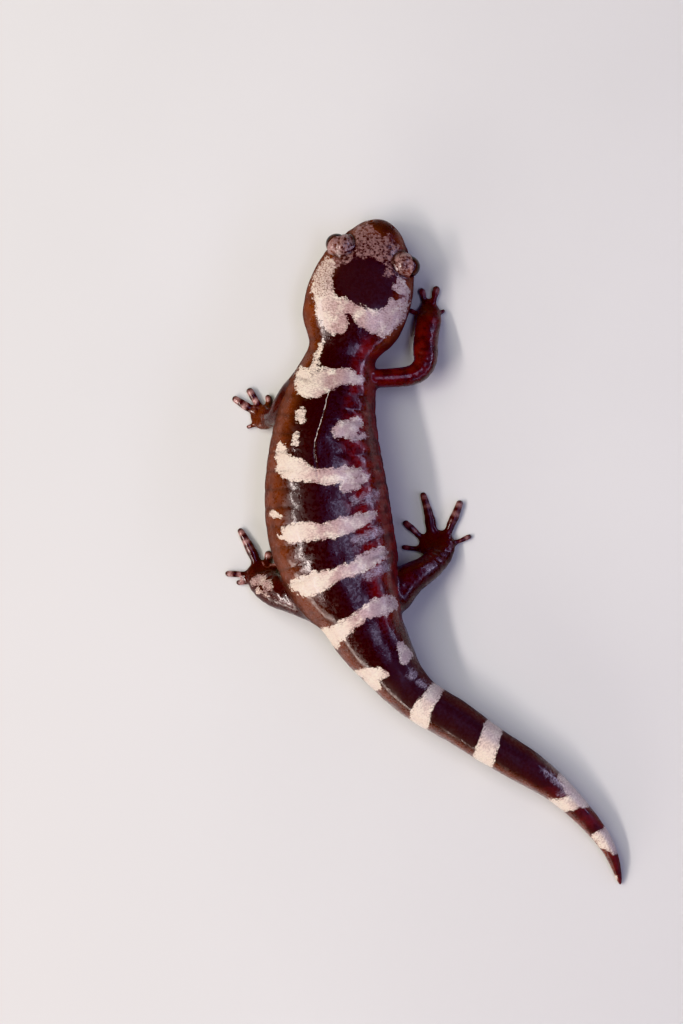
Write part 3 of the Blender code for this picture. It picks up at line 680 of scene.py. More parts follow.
def head_relief(points, distance, down):
    """Swell of the jaw, the groove behind the eye, the fold of the throat and those of the neck."""
    relief = 0.14 * hump(distance - 10.8, 2.6) * hump(down - 0.36, 0.13)
    behind_eye = smooth_step(6.6, 7.6, distance) * (1.0 - smooth_step(13.4, 14.4, distance))
    groove_line = 5.15 - 0.055 * np.maximum(distance - 6.6, 0.0) ** 1.3
    relief -= 0.11 * behind_eye * smooth_step(0.2, 0.3, down) * hump(points[..., 2] - groove_line, 0.16)
    throat = distance - (14.9 - 1.1 * smooth_step(0.75, 0.40, down))
    under = smooth_step(0.50, 0.62, down)
    relief += under * (0.10 * hump(throat + 0.55, 0.40) - 0.24 * hump(throat, 0.24))
    beside = smooth_step(0.22, 0.34, down) * (1.0 - 0.6 * smooth_step(0.40, 0.48, down))
    for fold, depth in NECK_FOLDS:
        relief -= depth * beside * hump(distance - fold - 0.8 * (down - 0.5), 0.20)
    return relief


def trunk_relief(distance, across, down):
    """Grooves over the ribs, and the step down to the right of the groove of the back."""
    ribs = bpy.context.scene.salamander_shape.groove_depth / MM
    start = np.where(across > 0.0, 0.01, 0.10)
    flank = smooth_step(start, start + 0.12, down) * (1.0 - 0.55 * smooth_step(0.24, 0.42, down))
    grooves = 0.55 * rib_grooves(distance, 0.22) + 0.6 * rib_grooves(distance, 0.62)
    along = smooth_step(19.0, 22.0, distance) * (1.0 - smooth_step(49.0, 53.0, distance)) * (down < 0.5)
    off = np.maximum(across - back_groove(distance), 0.0)
    return -ribs * flank * grooves - along * 0.16 * (1.0 - np.exp(-off / 1.4))


def body_relief(points, distance, across, angle):
    """Height of the skin's relief over the plain body, with the low swell all over it."""
    swell = bpy.context.scene.salamander_shape.swell / MM
    down = np.abs(angle) / math.pi
    relief = mouth_relief(points, distance) + nostril_and_lid_relief(points)
    relief += head_relief(points, distance, down) + trunk_relief(distance, across, down)
    return relief + swell * waviness(points)


def outward_normals(grid):
    """Unit normals of a grid of rings: cross product of the steps along and around it."""
    along = np.gradient(grid, axis=0)
    around = np.roll(grid, -1, axis=1) - np.roll(grid, 1, axis=1)
    normal = np.cross(along, around)
    normal /= np.maximum(np.linalg.norm(normal, axis=-1), 1e-9)[..., None]
    away = grid - grid.mean(axis=1)[:, None, :]
    return normal * np.sign((normal * away).sum())


def body_rings():
    """Rings of the body.

    Across is w sign(sin a) |sin a|^(2 / n) and rise is h sign(cos a) |cos a|^(2 / m) round the
    centre line, then each point moves along the outward normal by the relief and none goes
    below the floor.
    """
    distance = body_stations()
    width, height, middle = girth(distance)
    angle = ring_angles(distance, height, middle)
    x, y, head_x, head_y = (column[:, None] for column in centre_line(distance))
    side = np.sin(angle)
    up = np.cos(angle)
    across = width[:, None] * np.sign(side) * np.abs(side) ** (2.0 / ACROSS_POWER)
    rise = height[:, None] * np.sign(up) * np.abs(up) ** (2.0 / UP_POWER)
    grid = np.stack((x + across * head_y, y - across * head_x, middle[:, None] + rise), axis=-1)
    relief = body_relief(grid, distance[:, None], across, angle)
    ends = smooth_step(0.0, 0.4, distance) * (1.0 - smooth_step(TAIL_TIP - 2.0, TAIL_TIP, distance))
    relief *= ends[:, None]
    grid = grid + relief[..., None] * outward_normals(grid)
    grid[..., 2] = np.maximum(grid[..., 2], 0.0)
    return grid


# Legs, toes and lids

def tube_frame(rows, count):
    """Centres, directions and half sizes at even steps along a cubic path through rows."""
    table = np.asarray(rows, float)
    knots = chord_lengths(table[:, :3])
    distance = np.linspace(0.0, knots[-1], count)
    centre = np.stack([natural_spline(knots, table[:, k], distance) for k in range(3)], axis=-1)
    centre[:, :2] -= BOX_CENTRE
    forward = np.gradient(centre, axis=0)
    forward /= np.linalg.norm(forward, axis=-1)[:, None]
    right = np.stack((forward[:, 1], -forward[:, 0], np.zeros(count)), axis=1)
    right /= np.linalg.norm(right, axis=1)[:, None]
    upward = np.cross(right, forward)
    size = np.stack([natural_spline(knots, table[:, k], distance) for k in (3, 4)])
    return distance, centre, forward, right, upward, size


def leg_rings(rows):
    """Rings of a leg and its palm: ellipses across the path, with folds of skin where it bends.

    Four more rings close the palm: the ellipse times cos a, moved on by sin a.
    """
    distance, centre, forward, right, upward, size = tube_frame(rows, LEG_ROWS)
    turn = np.linalg.norm(np.gradient(forward, axis=0), axis=1) / np.gradient(distance)
    wave = 0.5 + 0.5 * np.cos(distance * 2.0 * math.pi / FOLD_SPACING)
    fold = 1.0 - 0.035 * smooth_step(0.10, 0.35, turn) * wave
    end = np.linspace(0.0, 0.5 * math.pi, 6)[1:-1]
    centre = np.concatenate((centre, centre[-1] + 0.4 * np.sin(end)[:, None] * forward[-1]))
    right = np.concatenate((right, np.repeat(right[-1:], len(end), axis=0)))
    upward = np.concatenate((upward, np.repeat(upward[-1:], len(end), axis=0)))
    size = np.concatenate((size * fold, size[:, -1:] * np.cos(end)), axis=1)
    angle = 2.0 * math.pi * np.arange(LEG_COLUMNS) / LEG_COLUMNS
    rings = (
        centre[:, None, :]
        + (size[0][:, None] * np.sin(angle))[..., None] * right[:, None, :]
        + (size[1][:, None] * np.cos(angle))[..., None] * upward[:, None, :]
    )
    rings += (0.03 * waviness(rings * 1.6))[..., None] * outward_normals(rings)
    rings[..., 2] = np.maximum(rings[..., 2], 0.0)
    return rings


def toe_path(points, count):
    """Distances from the tip, centres, half widths and half heights along a toe.

    The half width r follows its rows, swells a little at the joints and shrinks as a quarter
    circle at the tip; the half height is r - 0.5 max(r - 0.45, 0).
    """
    table = np.asarray(points, float)
    knots = chord_lengths(table[:, :2])
    share = 1.0 - (1.0 - np.arange(count) / count) ** 1.4
    along = share * knots[-1]
    left = knots[-1] - along
    x = natural_spline(knots, table[:, 0], along) - BOX_CENTRE[0]
    y = natural_spline(knots, table[:, 1], along) - BOX_CENTRE[1]
    wide = natural_spline(knots, table[:, 2], along)
    high = wide - 0.5 * np.maximum(wide - TOE_FLAT, 0.0)
    lift = 0.92 * np.minimum(high, TOE_FLAT) + 0.05 * np.sin(math.pi * share)
    close = np.minimum(left / TOE_ROUNDING, 1.0)
    joints = 1.0 + 0.05 * np.cos(2.0 * math.pi * left / RING_SPACING) * (1.0 - share)
    close = np.sqrt(close * (2.0 - close)) * joints
    return left, np.stack((x, y, lift), axis=1), wide * close, high * close


def toe_rings(points):
    """Rings of a toe: ellipses across its path, flat where they would go below the floor."""
    _, centre, wide, high = toe_path(points, TOE_ROWS)
    run = np.gradient(centre[:, :2], axis=0)
    run /= np.linalg.norm(run, axis=1)[:, None]
    angle = 2.0 * math.pi * (np.arange(TOE_COLUMNS) + 0.5) / TOE_COLUMNS
    reach = wide[:, None] * np.sin(angle)
    rings = np.stack((
        centre[:, 0, None] + reach * run[:, 1, None],
        centre[:, 1, None] - reach * run[:, 0, None],
        np.maximum(centre[:, 2, None] + high[:, None] * np.cos(angle), 0.0),
    ), axis=-1)
    tip = np.array([points[-1][0] - BOX_CENTRE[0], points[-1][1] - BOX_CENTRE[1], centre[-1, 2]])
    return rings, tip


def ball_rings(middle, size, axes, rows, columns):
    """Rings of a stretched ball and its two poles.

    A point is middle + sin p cos q a + cos p b + sin p sin q c, where a, b and c are the half
    sizes along the three axes.
    """
    polar = (math.pi * np.arange(1, rows) / rows)[:, None]
    around = (2.0 * math.pi * np.arange(columns) / columns)[None, :]
    rings = (
        middle
        + (np.sin(polar) * np.cos(around) * size[0])[..., None] * axes[0]
        + (np.cos(polar) * np.ones_like(around) * size[1])[..., None] * axes[1]
        + (np.sin(polar) * np.sin(around) * size[2])[..., None] * axes[2]
    )
    return rings, middle + size[1] * axes[1], middle - size[1] * axes[1]


def eye_middle(side):
    """Middle of the eyeball on one side."""
    return head_point(EYE_BACK, side * EYE_SIDE, EYE_HEIGHT)


def outward_axes(side, turn):
    """Axes of an eye: across, outward turned forward and upward, and up."""
    forward, right, upward = head_axes()
    gaze = side * right + turn[0] * forward + turn[1] * upward
    gaze /= np.linalg.norm(gaze)
    level = np.cross(upward, gaze)
    level /= np.linalg.norm(level)
    return np.stack((level, gaze, np.cross(gaze, level)))


def lid_dome(side):
    """Middle, half sizes and axes of the dome of the upper lid."""
    return head_point(EYE_BACK, side * DOME_SIDE, DOME_HEIGHT), DOME_SIZE, head_axes()


def lid_rim(side):
    """Middle, half sizes and axes of the rim of the lids: a ball a little larger than the eyeball."""
    axes = outward_axes(side, GAZE_TURN)
    reach = EYE_RADIUS + RIM_THICKNESS
    return eye_middle(side) - RIM_INSET * axes[1], (reach, reach, reach), axes


def lid_opening(side):
    """Middle, half sizes and axes of the opening between the lids."""
    axes = outward_axes(side, OPENING_TURN[side])
    return eye_middle(side) + OPENING_REACH * axes[1], OPENING_SIZE, axes


# Meshes

def mesh_from_arrays(name, points, quads, triangles):
    """Mesh object from arrays of points in millimetres, four-sided faces and three-sided faces."""
    mesh = bpy.data.meshes.new(name)
    mesh.vertices.add(len(points))
    mesh.vertices.foreach_set("co", (np.asarray(points) * MM).astype(np.float32).ravel())
    mesh.loops.add(quads.size + triangles.size)
    corners = np.concatenate((quads.ravel(), triangles.ravel()))
    mesh.loops.foreach_set("vertex_index", corners.astype(np.int32))
    mesh.polygons.add(len(quads) + len(triangles))
    starts = np.concatenate((np.arange(len(quads)) * 4, quads.size + np.arange(len(triangles)) * 3))
    mesh.polygons.foreach_set("loop_start", starts.astype(np.int32))
    mesh.update(calc_edges=True)
    mesh.validate()
    work = bmesh.new()
    work.from_mesh(mesh)
    bmesh.ops.recalc_face_normals(work, faces=work.faces)
    work.to_mesh(mesh)
    work.free()
    obj = bpy.data.objects.new(name, mesh)
    bpy.context.scene.collection.objects.link(obj)
    return obj


def closed_surface(name, rings, first_pole=None, last_pole=None):
    """Surface over a grid of rings, closed at each end by a pole, the end ring's mean by default."""
    rows, columns = rings.shape[:2]
    first_pole = rings[0].mean(axis=0) if first_pole is None else first_pole
    last_pole = rings[-1].mean(axis=0) if last_pole is None else last_pole
    points = np.concatenate((rings.reshape(-1, 3), [first_pole, last_pole]))
    index = np.arange(rows * columns).reshape(rows, columns)
    after = np.roll(index, -1, axis=1)
    quads = np.stack((index[:-1], after[:-1], after[1:], index[1:]), axis=-1).reshape(-1, 4)
    first = np.stack((after[0], index[0], np.full(columns, rows * columns)), axis=-1)
    last = np.stack((index[-1], after[-1], np.full(columns, rows * columns + 1)), axis=-1)
    return mesh_from_arrays(name, points, quads, np.concatenate((first, last)))


def combine(obj, operation, others):
    """Join or cut an object with every object of a list, apply it and remove the list."""
    group = bpy.data.collections.new("pieces")
    bpy.context.scene.collection.children.link(group)
    for other in others:
        bpy.context.scene.collection.objects.unlink(other)
        group.objects.link(other)
    modifier = obj.modifiers.new("join", "BOOLEAN")
    modifier.operation = operation
    modifier.operand_type = "COLLECTION"
    modifier.collection = group
    modifier.solver = "MANIFOLD"
    bpy.context.view_layer.update()
    evaluated = obj.evaluated_get(bpy.context.evaluated_depsgraph_get())
    mesh = bpy.data.meshes.new_from_object(evaluated)
    obj.modifiers.clear()
    obj.data = mesh
    for other in others:
        bpy.data.objects.remove(other)
    bpy.data.collections.remove(group)


def keep_largest(obj, merge):
    """Merge doubles, make triangles and keep only the piece of surface with the most faces."""
    work = bmesh.new()
    work.from_mesh(obj.data)
    bmesh.ops.remove_doubles(work, verts=work.verts, dist=merge)
    bmesh.ops.dissolve_degenerate(work, edges=work.edges, dist=merge * 0.5)
    bmesh.ops.holes_fill(work, edges=[edge for edge in work.edges if edge.is_boundary])
    bmesh.ops.triangulate(work, faces=work.faces)
    left = set(work.faces)
    shells = []
    while left:
        stack = [left.pop()]
        shell = list(stack)
        while stack:
            for edge in stack.pop().edges:
                for near in edge.link_faces:
                    if near in left:
                        left.remove(near)
                        stack.append(near)
                        shell.append(near)
        shells.append(shell)
    shells.sort(key=len, reverse=True)
    extra = [face for shell in shells[1:] for face in shell]
    if extra:
        bmesh.ops.delete(work, geom=extra, context="FACES")
    work.to_mesh(obj.data)
    work.free()


def read_points(mesh):
    """Points of a mesh in millimetres."""
    points = np.empty(len(mesh.vertices) * 3, np.float32)
    mesh.vertices.foreach_get("co", points)
    return points.reshape(-1, 3).astype(float) / MM


def relax(points, edges, weight, rounds):
    """Move each point towards the mean of its neighbours, p + 0.6 w (mean - p), a number of times."""
    count = len(points)
    one, two = edges[:, 0], edges[:, 1]
    near = np.maximum(np.bincount(one, minlength=count) + np.bincount(two, minlength=count), 1)
    for _ in range(rounds):
        total = np.stack([
            np.bincount(one, points[two, k], count) + np.bincount(two, points[one, k], count)
            for k in range(3)
        ], axis=1)
        points = points + 0.6 * weight[:, None] * (total / near[:, None] - points)
    return points


# Where a point lies on the animal

def nearest(points, samples):
    """Index of the sample nearest to each point, worked out a slice at a time."""
    index = np.empty(len(points), int)
    squares = (samples ** 2).sum(axis=1)
    for start in range(0, len(points), SLICE):
        part = points[start:start + SLICE]
        index[start:start + SLICE] = (squares - 2.0 * part @ samples.T).argmin(axis=1)
    return index


def body_place(points):
    """Distance from the snout and offset to the right of points, from the nearest point of the line."""
    line = np.linspace(0.0, TAIL_TIP, LINE_SAMPLES)
    x, y, head_x, head_y = centre_line(line)
    index = nearest(points[:, :2], np.stack((x, y), axis=1))
    dx = points[:, 0] - x[index]
    dy = points[:, 1] - y[index]
    distance = line[index] - dx * head_x[index] - dy * head_y[index]
    return np.clip(distance, 0.0, TAIL_TIP), dx * head_y[index] - dy * head_x[index]


def body_gap(points, distance, across):
    """About how far points are outside the plain body: (q - 1) times its smaller half size."""
    width, height, middle = girth(np.clip(distance, 0.05, TAIL_TIP - 0.05))
    wide = np.abs(across) / width
    tall = np.abs(points[:, 2] - middle) / height
    mean = 0.5 * (ACROSS_POWER + UP_POWER)
    return ((wide ** ACROSS_POWER + tall ** UP_POWER) ** (1.0 / mean) - 1.0) * np.minimum(width, height)


def leg_gap(points, rows):
    """About how far points are outside a leg."""
    _, centre, forward, right, upward, size = tube_frame(rows, LEG_ROWS)
    index = nearest(points, centre)
    away = points - centre[index]
    wide = (away * right[index]).sum(axis=1) / size[0][index]
    tall = (away * upward[index]).sum(axis=1) / size[1][index]
    ahead = (away * forward[index]).sum(axis=1)
    beyond = np.where((index == 0) | (index == len(centre) - 1), np.abs(ahead), 0.0)
    gap = (np.hypot(wide, tall) - 1.0) * size[:, index].min(axis=0)
    return np.maximum(gap, beyond - 0.3)


def toe_gap(points, toe):
    """How far points are outside a toe, and their distance from its tip."""
    left, centre, wide, high = toe_path(toe, 48)
    index = nearest(points, centre)
    away = points - centre[index]
    away[:, 2] *= (wide / high)[index]
    return np.linalg.norm(away, axis=1) - wide[index], left[index]


def ball_gap(points, middle, size, axes):
    """About how far points are outside a stretched ball."""
    local = (points - middle) @ axes.T / np.asarray(size)
    return (np.linalg.norm(local, axis=1) - 1.0) * min(size)


def marks_inside(points, marks):
    """How far plan points are inside the nearest of the tapered strokes of marks."""
    inside = np.full(len(points), -9.0)
    for stroke in marks:
        rows = np.asarray(stroke, float)
        rows[:, :2] -= BOX_CENTRE
        for start, end in zip(rows[:-1], rows[1:]):
            run = end[:2] - start[:2]
            share = np.clip(((points[:, :2] - start[:2]) @ run) / (run @ run), 0.0, 1.0)
            away = np.linalg.norm(points[:, :2] - start[:2] - share[:, None] * run, axis=1)
            inside = np.maximum(inside, start[2] + share * (end[2] - start[2]) - away)
    return inside


# The skin

def skin_pieces():
    """Legs, toes, domes of the lids and their rims, as closed surfaces to join to the body."""
    pieces = []
    for label, rows, palm, toes, _ in LIMBS:
        pieces.append(closed_surface(label, leg_rings(rows + palm)))
        for number, toe in enumerate(toes, 1):
            rings, tip = toe_rings(toe)
            pieces.append(closed_surface(label + "_toe_" + str(number), rings, None, tip))
    for side, label in ((-1.0, "left"), (1.0, "right")):
        pieces.append(closed_surface("dome_" + label, *ball_rings(*lid_dome(side), *LID_GRID)))
        pieces.append(closed_surface("rim_" + label, *ball_rings(*lid_rim(side), *LID_GRID)))
    return pieces


def eye_cutters():
    """Sockets of the eyeballs and the openings between the lids, as closed surfaces to cut away."""
    cutters = []
    for side, label in ((-1.0, "left"), (1.0, "right")):
        size = (EYE_RADIUS + SOCKET_GAP,) * 3
        socket = ball_rings(eye_middle(side), size, outward_axes(side, GAZE_TURN), *SOCKET_GRID)
        cutters.append(closed_surface("socket_" + label, *socket))
        cutters.append(closed_surface("opening_" + label, *ball_rings(*lid_opening(side), *OPENING_GRID)))
    return cutters


def part_gaps(points, distance, across):
    """How far points are from the surface of each part, how wide its joins blend, and its kind.

    Last, how far the points are from the tip of each toe.
    """
    parts = [("body", 0.45, body_gap(points, distance, across))]
    left = {}
    for label, rows, palm, toes, _ in LIMBS:
        parts.append((label, 0.50, leg_gap(points, rows + palm)))
        for number, toe in enumerate(toes, 1):
            kind = label + "_toe_" + str(number)
            gap, left[kind] = toe_gap(points, toe)
            parts.append((kind, 0.20, gap))
    for side in (-1.0, 1.0):
        parts.append(("dome", 0.12, ball_gap(points, *lid_dome(side))))
        parts.append(("rim", 0.10, ball_gap(points, *lid_rim(side))))
        parts.append(("opening", 0.06, ball_gap(points, *lid_opening(side))))
    kinds, blends, gaps = zip(*parts)
    return np.stack(gaps), np.array(blends), np.array(kinds), left


def join_weight(gaps, blends):
    """One where the surfaces of two parts meet, falling to nought away from their join."""
    near = hump(gaps, blends[:, None])
    near.sort(axis=0)
    return near[-2]


def seen_in_plan(points):
    """Plan place at which points appear from the camera above, drawn at the height of the marks."""
    reach = (CAMERA_PLACE[2] - MARK_HEIGHT) / (CAMERA_PLACE[2] - points[:, 2])
    return CAMERA_PLACE[:2] + (points[:, :2] - CAMERA_PLACE[:2]) * reach[:, None]


class SkinPlaces:
    """Where points of the skin lie on the animal: along and across it, how far down, on which part."""

    def __init__(self, points):
        self.points = points
        self.distance, self.across = body_place(points)
        width, height, middle = girth(np.clip(self.distance, 0.05, TAIL_TIP - 0.05))
        self.gaps, _, self.kinds, self.toe_left = part_gaps(points, self.distance, self.across)
        self.closest = self.kinds[np.abs(self.gaps).argmin(axis=0)]
        self.on_body = np.isin(self.closest, ("body", "dome", "rim", "opening"))
        self.plan = seen_in_plan(points)
        self.share = self.across / width
        self.down = np.arctan2(np.abs(self.across) / width, (points[:, 2] - middle) / height) / math.pi
        tail = smooth_step(52.0, 58.0, self.distance)
        self.level = points[:, 2] - (middle + 0.05 * height - 0.45 * height * tail)
        self.head = 1.0 - smooth_step(*HEAD_END, self.distance)
        self.trunk = 1.0 - smooth_step(*TRUNK_END, self.distance)

    def on_part(self, name):
        """True on the leg, hand or foot whose name starts so."""
        return np.char.startswith(self.closest, name)

    def body_marks(self, marks):
        """How far inside marks, which end a little below the widest line of the body."""
        return np.where(self.on_body, np.minimum(marks_inside(self.plan, marks), self.level), -9.0)


def pale_field(place):
    """How far inside a pale band, with the notches taken out."""
    on_foot = place.on_part("hindleg_left") & (place.points[:, 2] > 0.6)
    pale = np.where(on_foot, marks_inside(place.plan, PALE_MARKS), place.body_marks(PALE_MARKS))
    return pale - 1.30 * smooth_step(-0.40, 0.30, marks_inside(place.plan, NOTCHES))


def speckled_field(place):
    """How far inside a freckled patch; the domes of the lids are freckled above their rims."""
    dome = np.isin(place.closest, ("dome", "rim", "opening")) & (place.distance < EYE_BACK + 3.0)
    speckled = place.body_marks(SPECKLED_MARKS)
    return np.where(dome, np.maximum(speckled, place.points[:, 2] - 5.1), speckled)


def flecked_field(place):
    """Where dark flecks crowd in the pale marks: in their own marks, and less so all over the head."""
    flecked = smooth_step(-0.4, 0.5, marks_inside(place.plan, FLECKED_MARKS))
    return np.maximum(flecked, 0.45 * (1.0 - smooth_step(15.5, 18.5, place.distance)))


def brown_field(place):
    """Brown of the thin skin of the flanks, the front of the snout and the palms; on the upper flanks it is
    partly painted orange reflected light.
    """
    down, head = place.down, place.head
    blotch = smooth_step(-0.5, 0.5, marks_inside(place.plan, BLOTCH))
    snout = 0.60 * smooth_step(3.4, 1.8, place.distance) * (1.0 - 0.60 * blotch)
    # The upper flanks' brown is partly painted orange light reflected from below.
    brown = smooth_step(0.16, 0.30, down) * (1.0 - 0.78 * smooth_step(0.33, 0.50, down))
    brown = np.maximum(brown, snout * (1.0 - 0.6 * smooth_step(0.5, 0.7, down)))
    right = (place.across > 0.0) * (1.0 - head)
    brown = brown * place.on_body * (0.80 + 0.20 * head) * (1.0 - 0.62 * right)
    for kind, most, least in PALM_BROWN:
        lowness = least + (most - least) * smooth_step(3.0, 1.0, place.points[:, 2])
        palm = place.on_part(kind) & (np.char.find(place.closest, "toe") < 0)
        brown = np.maximum(brown, palm * lowness)
    return brown


def hollow_field(place):
    """Painted shade in the line of the mouth, the nostrils, the creases round the lids and the rib grooves.
    """
    gape = 1.0 - smooth_step(MOUTH_CORNER - 1.0, MOUTH_CORNER, place.distance)
    front = place.on_body & (place.distance < MOUTH_CORNER + 1.0)
    hollow = front * gape * hump(place.points[:, 2] - mouth_height(place.distance), 0.09)
    for side in (-1.0, 1.0):
        hollow = np.maximum(hollow, hump(nostril_gap(place.points, side), NOSTRIL_RADIUS))
    for index in np.flatnonzero(place.kinds == "dome"):
        hollow = np.maximum(hollow, hump(place.gaps[0] + 0.08, 0.26) * hump(place.gaps[index], 0.24))
    ribs = rib_grooves(place.distance, 0.20) * smooth_step(0.10, 0.22, place.down)
    return np.maximum(hollow, 0.45 * place.on_body * ribs)


def toe_field(place):
    """Light rings of the toes: waves 1.2 mm long from the tip that fade towards the root."""
    toe_light = np.zeros(len(place.points))
    for label, _, _, toes, light in LIMBS:
        for number in range(1, len(toes) + 1):
            kind = label + "_toe_" + str(number)
            left = place.toe_left[kind]
            ring = 0.5 - 0.5 * np.cos(2.0 * math.pi * (left - 0.05) / RING_SPACING)
            fade = 1.0 - smooth_step(2.2, 3.4, left)
            toe_light = np.where(place.closest == kind, light * fade * ring ** 1.2, toe_light)
    return toe_light


def matt_field(place):
    """Where the skin is less wet: the crown, the tail but for its gleams, the low flanks, the waist."""
    distance = place.distance
    matt = smooth_step(-0.8, 0.8, marks_inside(place.plan, CROWN)) * place.on_body
    edge = smooth_step(-0.62, -0.40, place.share)
    gleam = smooth_step(79.0, 83.0, distance) * (1.0 - smooth_step(89.0, 92.0, distance))
    gleam = gleam * smooth_step(0.05, 0.40, place.share)
    matt = np.maximum(matt, 0.90 * smooth_step(56.0, 63.0, distance) * edge * (1.0 - 0.85 * gleam))
    matt = np.maximum(matt, place.on_body * smooth_step(0.26, 0.42, place.down) * place.trunk)
    waist = smooth_step(26.0, 29.0, distance) * (1.0 - smooth_step(38.0, 41.0, distance))
    return np.maximum(matt, 0.22 * place.on_body * waist * smooth_step(-0.5, -2.0, place.across))


def red_field(place):
    """Maroon of the right side, the legs and the end of the tail."""
    red = smooth_step(0.06, 0.20, place.down) * (place.across > 0.0)
    red = red * place.on_body * place.trunk * (1.0 - place.head)
    for kind, amount in LEG_RED:
        red = np.maximum(red, amount * place.on_part(kind))
    return np.maximum(red, 0.60 * place.on_body * smooth_step(78.0, 90.0, place.distance))


def skin_fields(points):
    """Fields of the skin at its points, in millimetres or from nought to one.

    pale, faint and speckled: how far inside a pale mark, a dusty mark that is partly a painted bluish
    glint, or a freckled mark.
    along and across: place on the body. beside: offset to the right of the groove of the back.
    side: from minus one at the left edge of the body to one at the right, less on the head.
    """
    place = SkinPlaces(points)
    side = place.on_body * np.clip(place.share, -1.0, 1.0) * (1.0 - 0.45 * place.head)
    return {
        "pale": pale_field(place), "faint": place.body_marks(DUST_AND_GLINT_MARKS),
        "speckled": speckled_field(place), "flecked": flecked_field(place),
        "brown": brown_field(place), "red": red_field(place), "hollow": hollow_field(place),
        "toe": toe_field(place), "matt": matt_field(place),
        "along": place.distance, "across": place.across,
        "beside": place.across - back_groove(place.distance), "side": side,
    }


def write_field(mesh, name, values):
    """Store one number for each point of a mesh."""
    field = mesh.attributes.new(name, "FLOAT", "POINT")
    field.data.foreach_set("value", np.asarray(values, np.float32))


def build_skin():
    """One closed skin over body, legs, toes and lids, its joins blended into folds."""
    rings = body_rings()
    tip_x, tip_y, _, _ = centre_line(np.array([TAIL_TIP]))
    tip = np.array([tip_x[0], tip_y[0], GIRTH[-1][3]])
    skin = closed_surface("skin", rings, head_point(0.0, 0.0, GIRTH[0][3]), tip)
    combine(skin, "UNION", skin_pieces())
    combine(skin, "DIFFERENCE", eye_cutters())
    keep_largest(skin, MERGE_GAP * MM)
    mesh = skin.data
    points = read_points(mesh)
    edges = np.empty(len(mesh.edges) * 2, np.int32)
    mesh.edges.foreach_get("vertices", edges)
    edges = edges.reshape(-1, 2)
    distance, across = body_place(points)
    gaps, blends, _, _ = part_gaps(points, distance, across)
    points = relax(points, edges, join_weight(gaps, blends), RELAX_ROUNDS)
    points[:, 2] = np.maximum(points[:, 2], 0.0)
    mesh.vertices.foreach_set("co", (points * MM).astype(np.float32).ravel())
    for name, values in skin_fields(points).items():
        write_field(mesh, name, values)
    mesh.update()
    mesh.shade_smooth()
    return skin


def build_eye(side, name):
    """Eyeball with its cornea standing out: radius r (1 + h exp(-(a / w)^2)) at angle a from the gaze."""
    axes = outward_axes(side, GAZE_TURN)
    middle = eye_middle(side)
    rings, front, back = ball_rings(middle, (EYE_RADIUS,) * 3, axes, *EYE_GRID)
    polar = (math.pi * np.arange(1, EYE_GRID[0]) / EYE_GRID[0])[:, None, None]
    rings = middle + (rings - middle) * (1.0 + CORNEA_RISE * hump(polar, CORNEA_WIDTH))
    front = middle + (front - middle) * (1.0 + CORNEA_RISE)
    eye = closed_surface(name, rings, front, back)
    points = read_points(eye.data) - middle
    cosine = points @ axes[1] / np.linalg.norm(points, axis=1)
    write_field(eye.data, "gaze", np.arccos(np.clip(cosine, -1.0, 1.0)))
    eye.data.shade_smooth()
    return eye


# Materials

def put(tree, kind, inputs=None, **settings):
    """Add a node, set its properties, and fill its inputs with numbers, colours or other sockets."""
    node = tree.nodes.new(kind)
    for name, value in settings.items():
        setattr(node, name, value)
    for name, value in (inputs or {}).items():
        if isinstance(value, bpy.types.NodeSocket):
            tree.links.new(value, node.inputs[name])
        else:
            node.inputs[name].default_value = value
    return node


def maths(tree, operation, a, b=0.0, clamp=False):
    """Result of a Math node on two numbers or sockets."""
    return put(tree, "ShaderNodeMath", {0: a, 1: b}, operation=operation, use_clamp=clamp).outputs[0]


def blend(tree, factor, one, two):
    """Colour one turned to colour two by a factor."""
    return put(tree, "ShaderNodeMix", {0: factor, 6: one, 7: two}, data_type="RGBA").outputs[2]


def ramp(tree, value, low, high, start=0.0, end=1.0):
    """Value taken from low..high to start..end along an S curve."""
    inputs = {0: value, 1: low, 2: high, 3: start, 4: end}
    return put(tree, "ShaderNodeMapRange", inputs, interpolation_type="SMOOTHSTEP").outputs[0]


def field(tree, name):
    """A field of numbers stored on the mesh."""
    return put(tree, "ShaderNodeAttribute", attribute_name=name).outputs["Fac"]


def noise(tree, place, scale, detail=2.0, roughness=0.55):
    """Noise on object coordinates; the scale is in waves to the metre."""
    inputs = {"Vector": place, "Scale": scale, "Detail": detail, "Roughness": roughness}
    return put(tree, "ShaderNodeTexNoise", inputs).outputs[0]


def times(tree, a, b, *more, clamp=False):
    """Product of two or more numbers or sockets."""
    for value in more:
        a, b = maths(tree, "MULTIPLY", a, b), value
    return maths(tree, "MULTIPLY", a, b, clamp)


def plus(tree, a, b):
    """Sum of two numbers or sockets."""
    return maths(tree, "ADD", a, b)


def minus(tree, a, b):
    """Difference of two numbers or sockets."""
    return maths(tree, "SUBTRACT", a, b)


def object_place(tree):
    """Object coordinates."""
    return tree.nodes.new("ShaderNodeTexCoord").outputs["Object"]


def bump(tree, strength, distance, height, **inputs):
    """Normal of a Bump node."""
    inputs = {"Strength": strength, "Distance": distance, "Height": height, **inputs}
    return put(tree, "ShaderNodeBump", inputs).outputs["Normal"]


def start_group(name, inputs, output):
    """Empty node group with named number inputs and one output; also its ends and a place for patterns."""
    tree = bpy.data.node_groups.new(name, "ShaderNodeTree")
    for label, default in inputs:
        socket = tree.interface.new_socket(label, in_out="INPUT", socket_type="NodeSocketFloat")
        socket.default_value = default
    tree.interface.new_socket(output, in_out="OUTPUT", socket_type="NodeSocketFloat")
    given = tree.nodes.new("NodeGroupInput").outputs
    result = tree.nodes.new("NodeGroupOutput").inputs[output]
    return tree, given, result, object_place(tree)


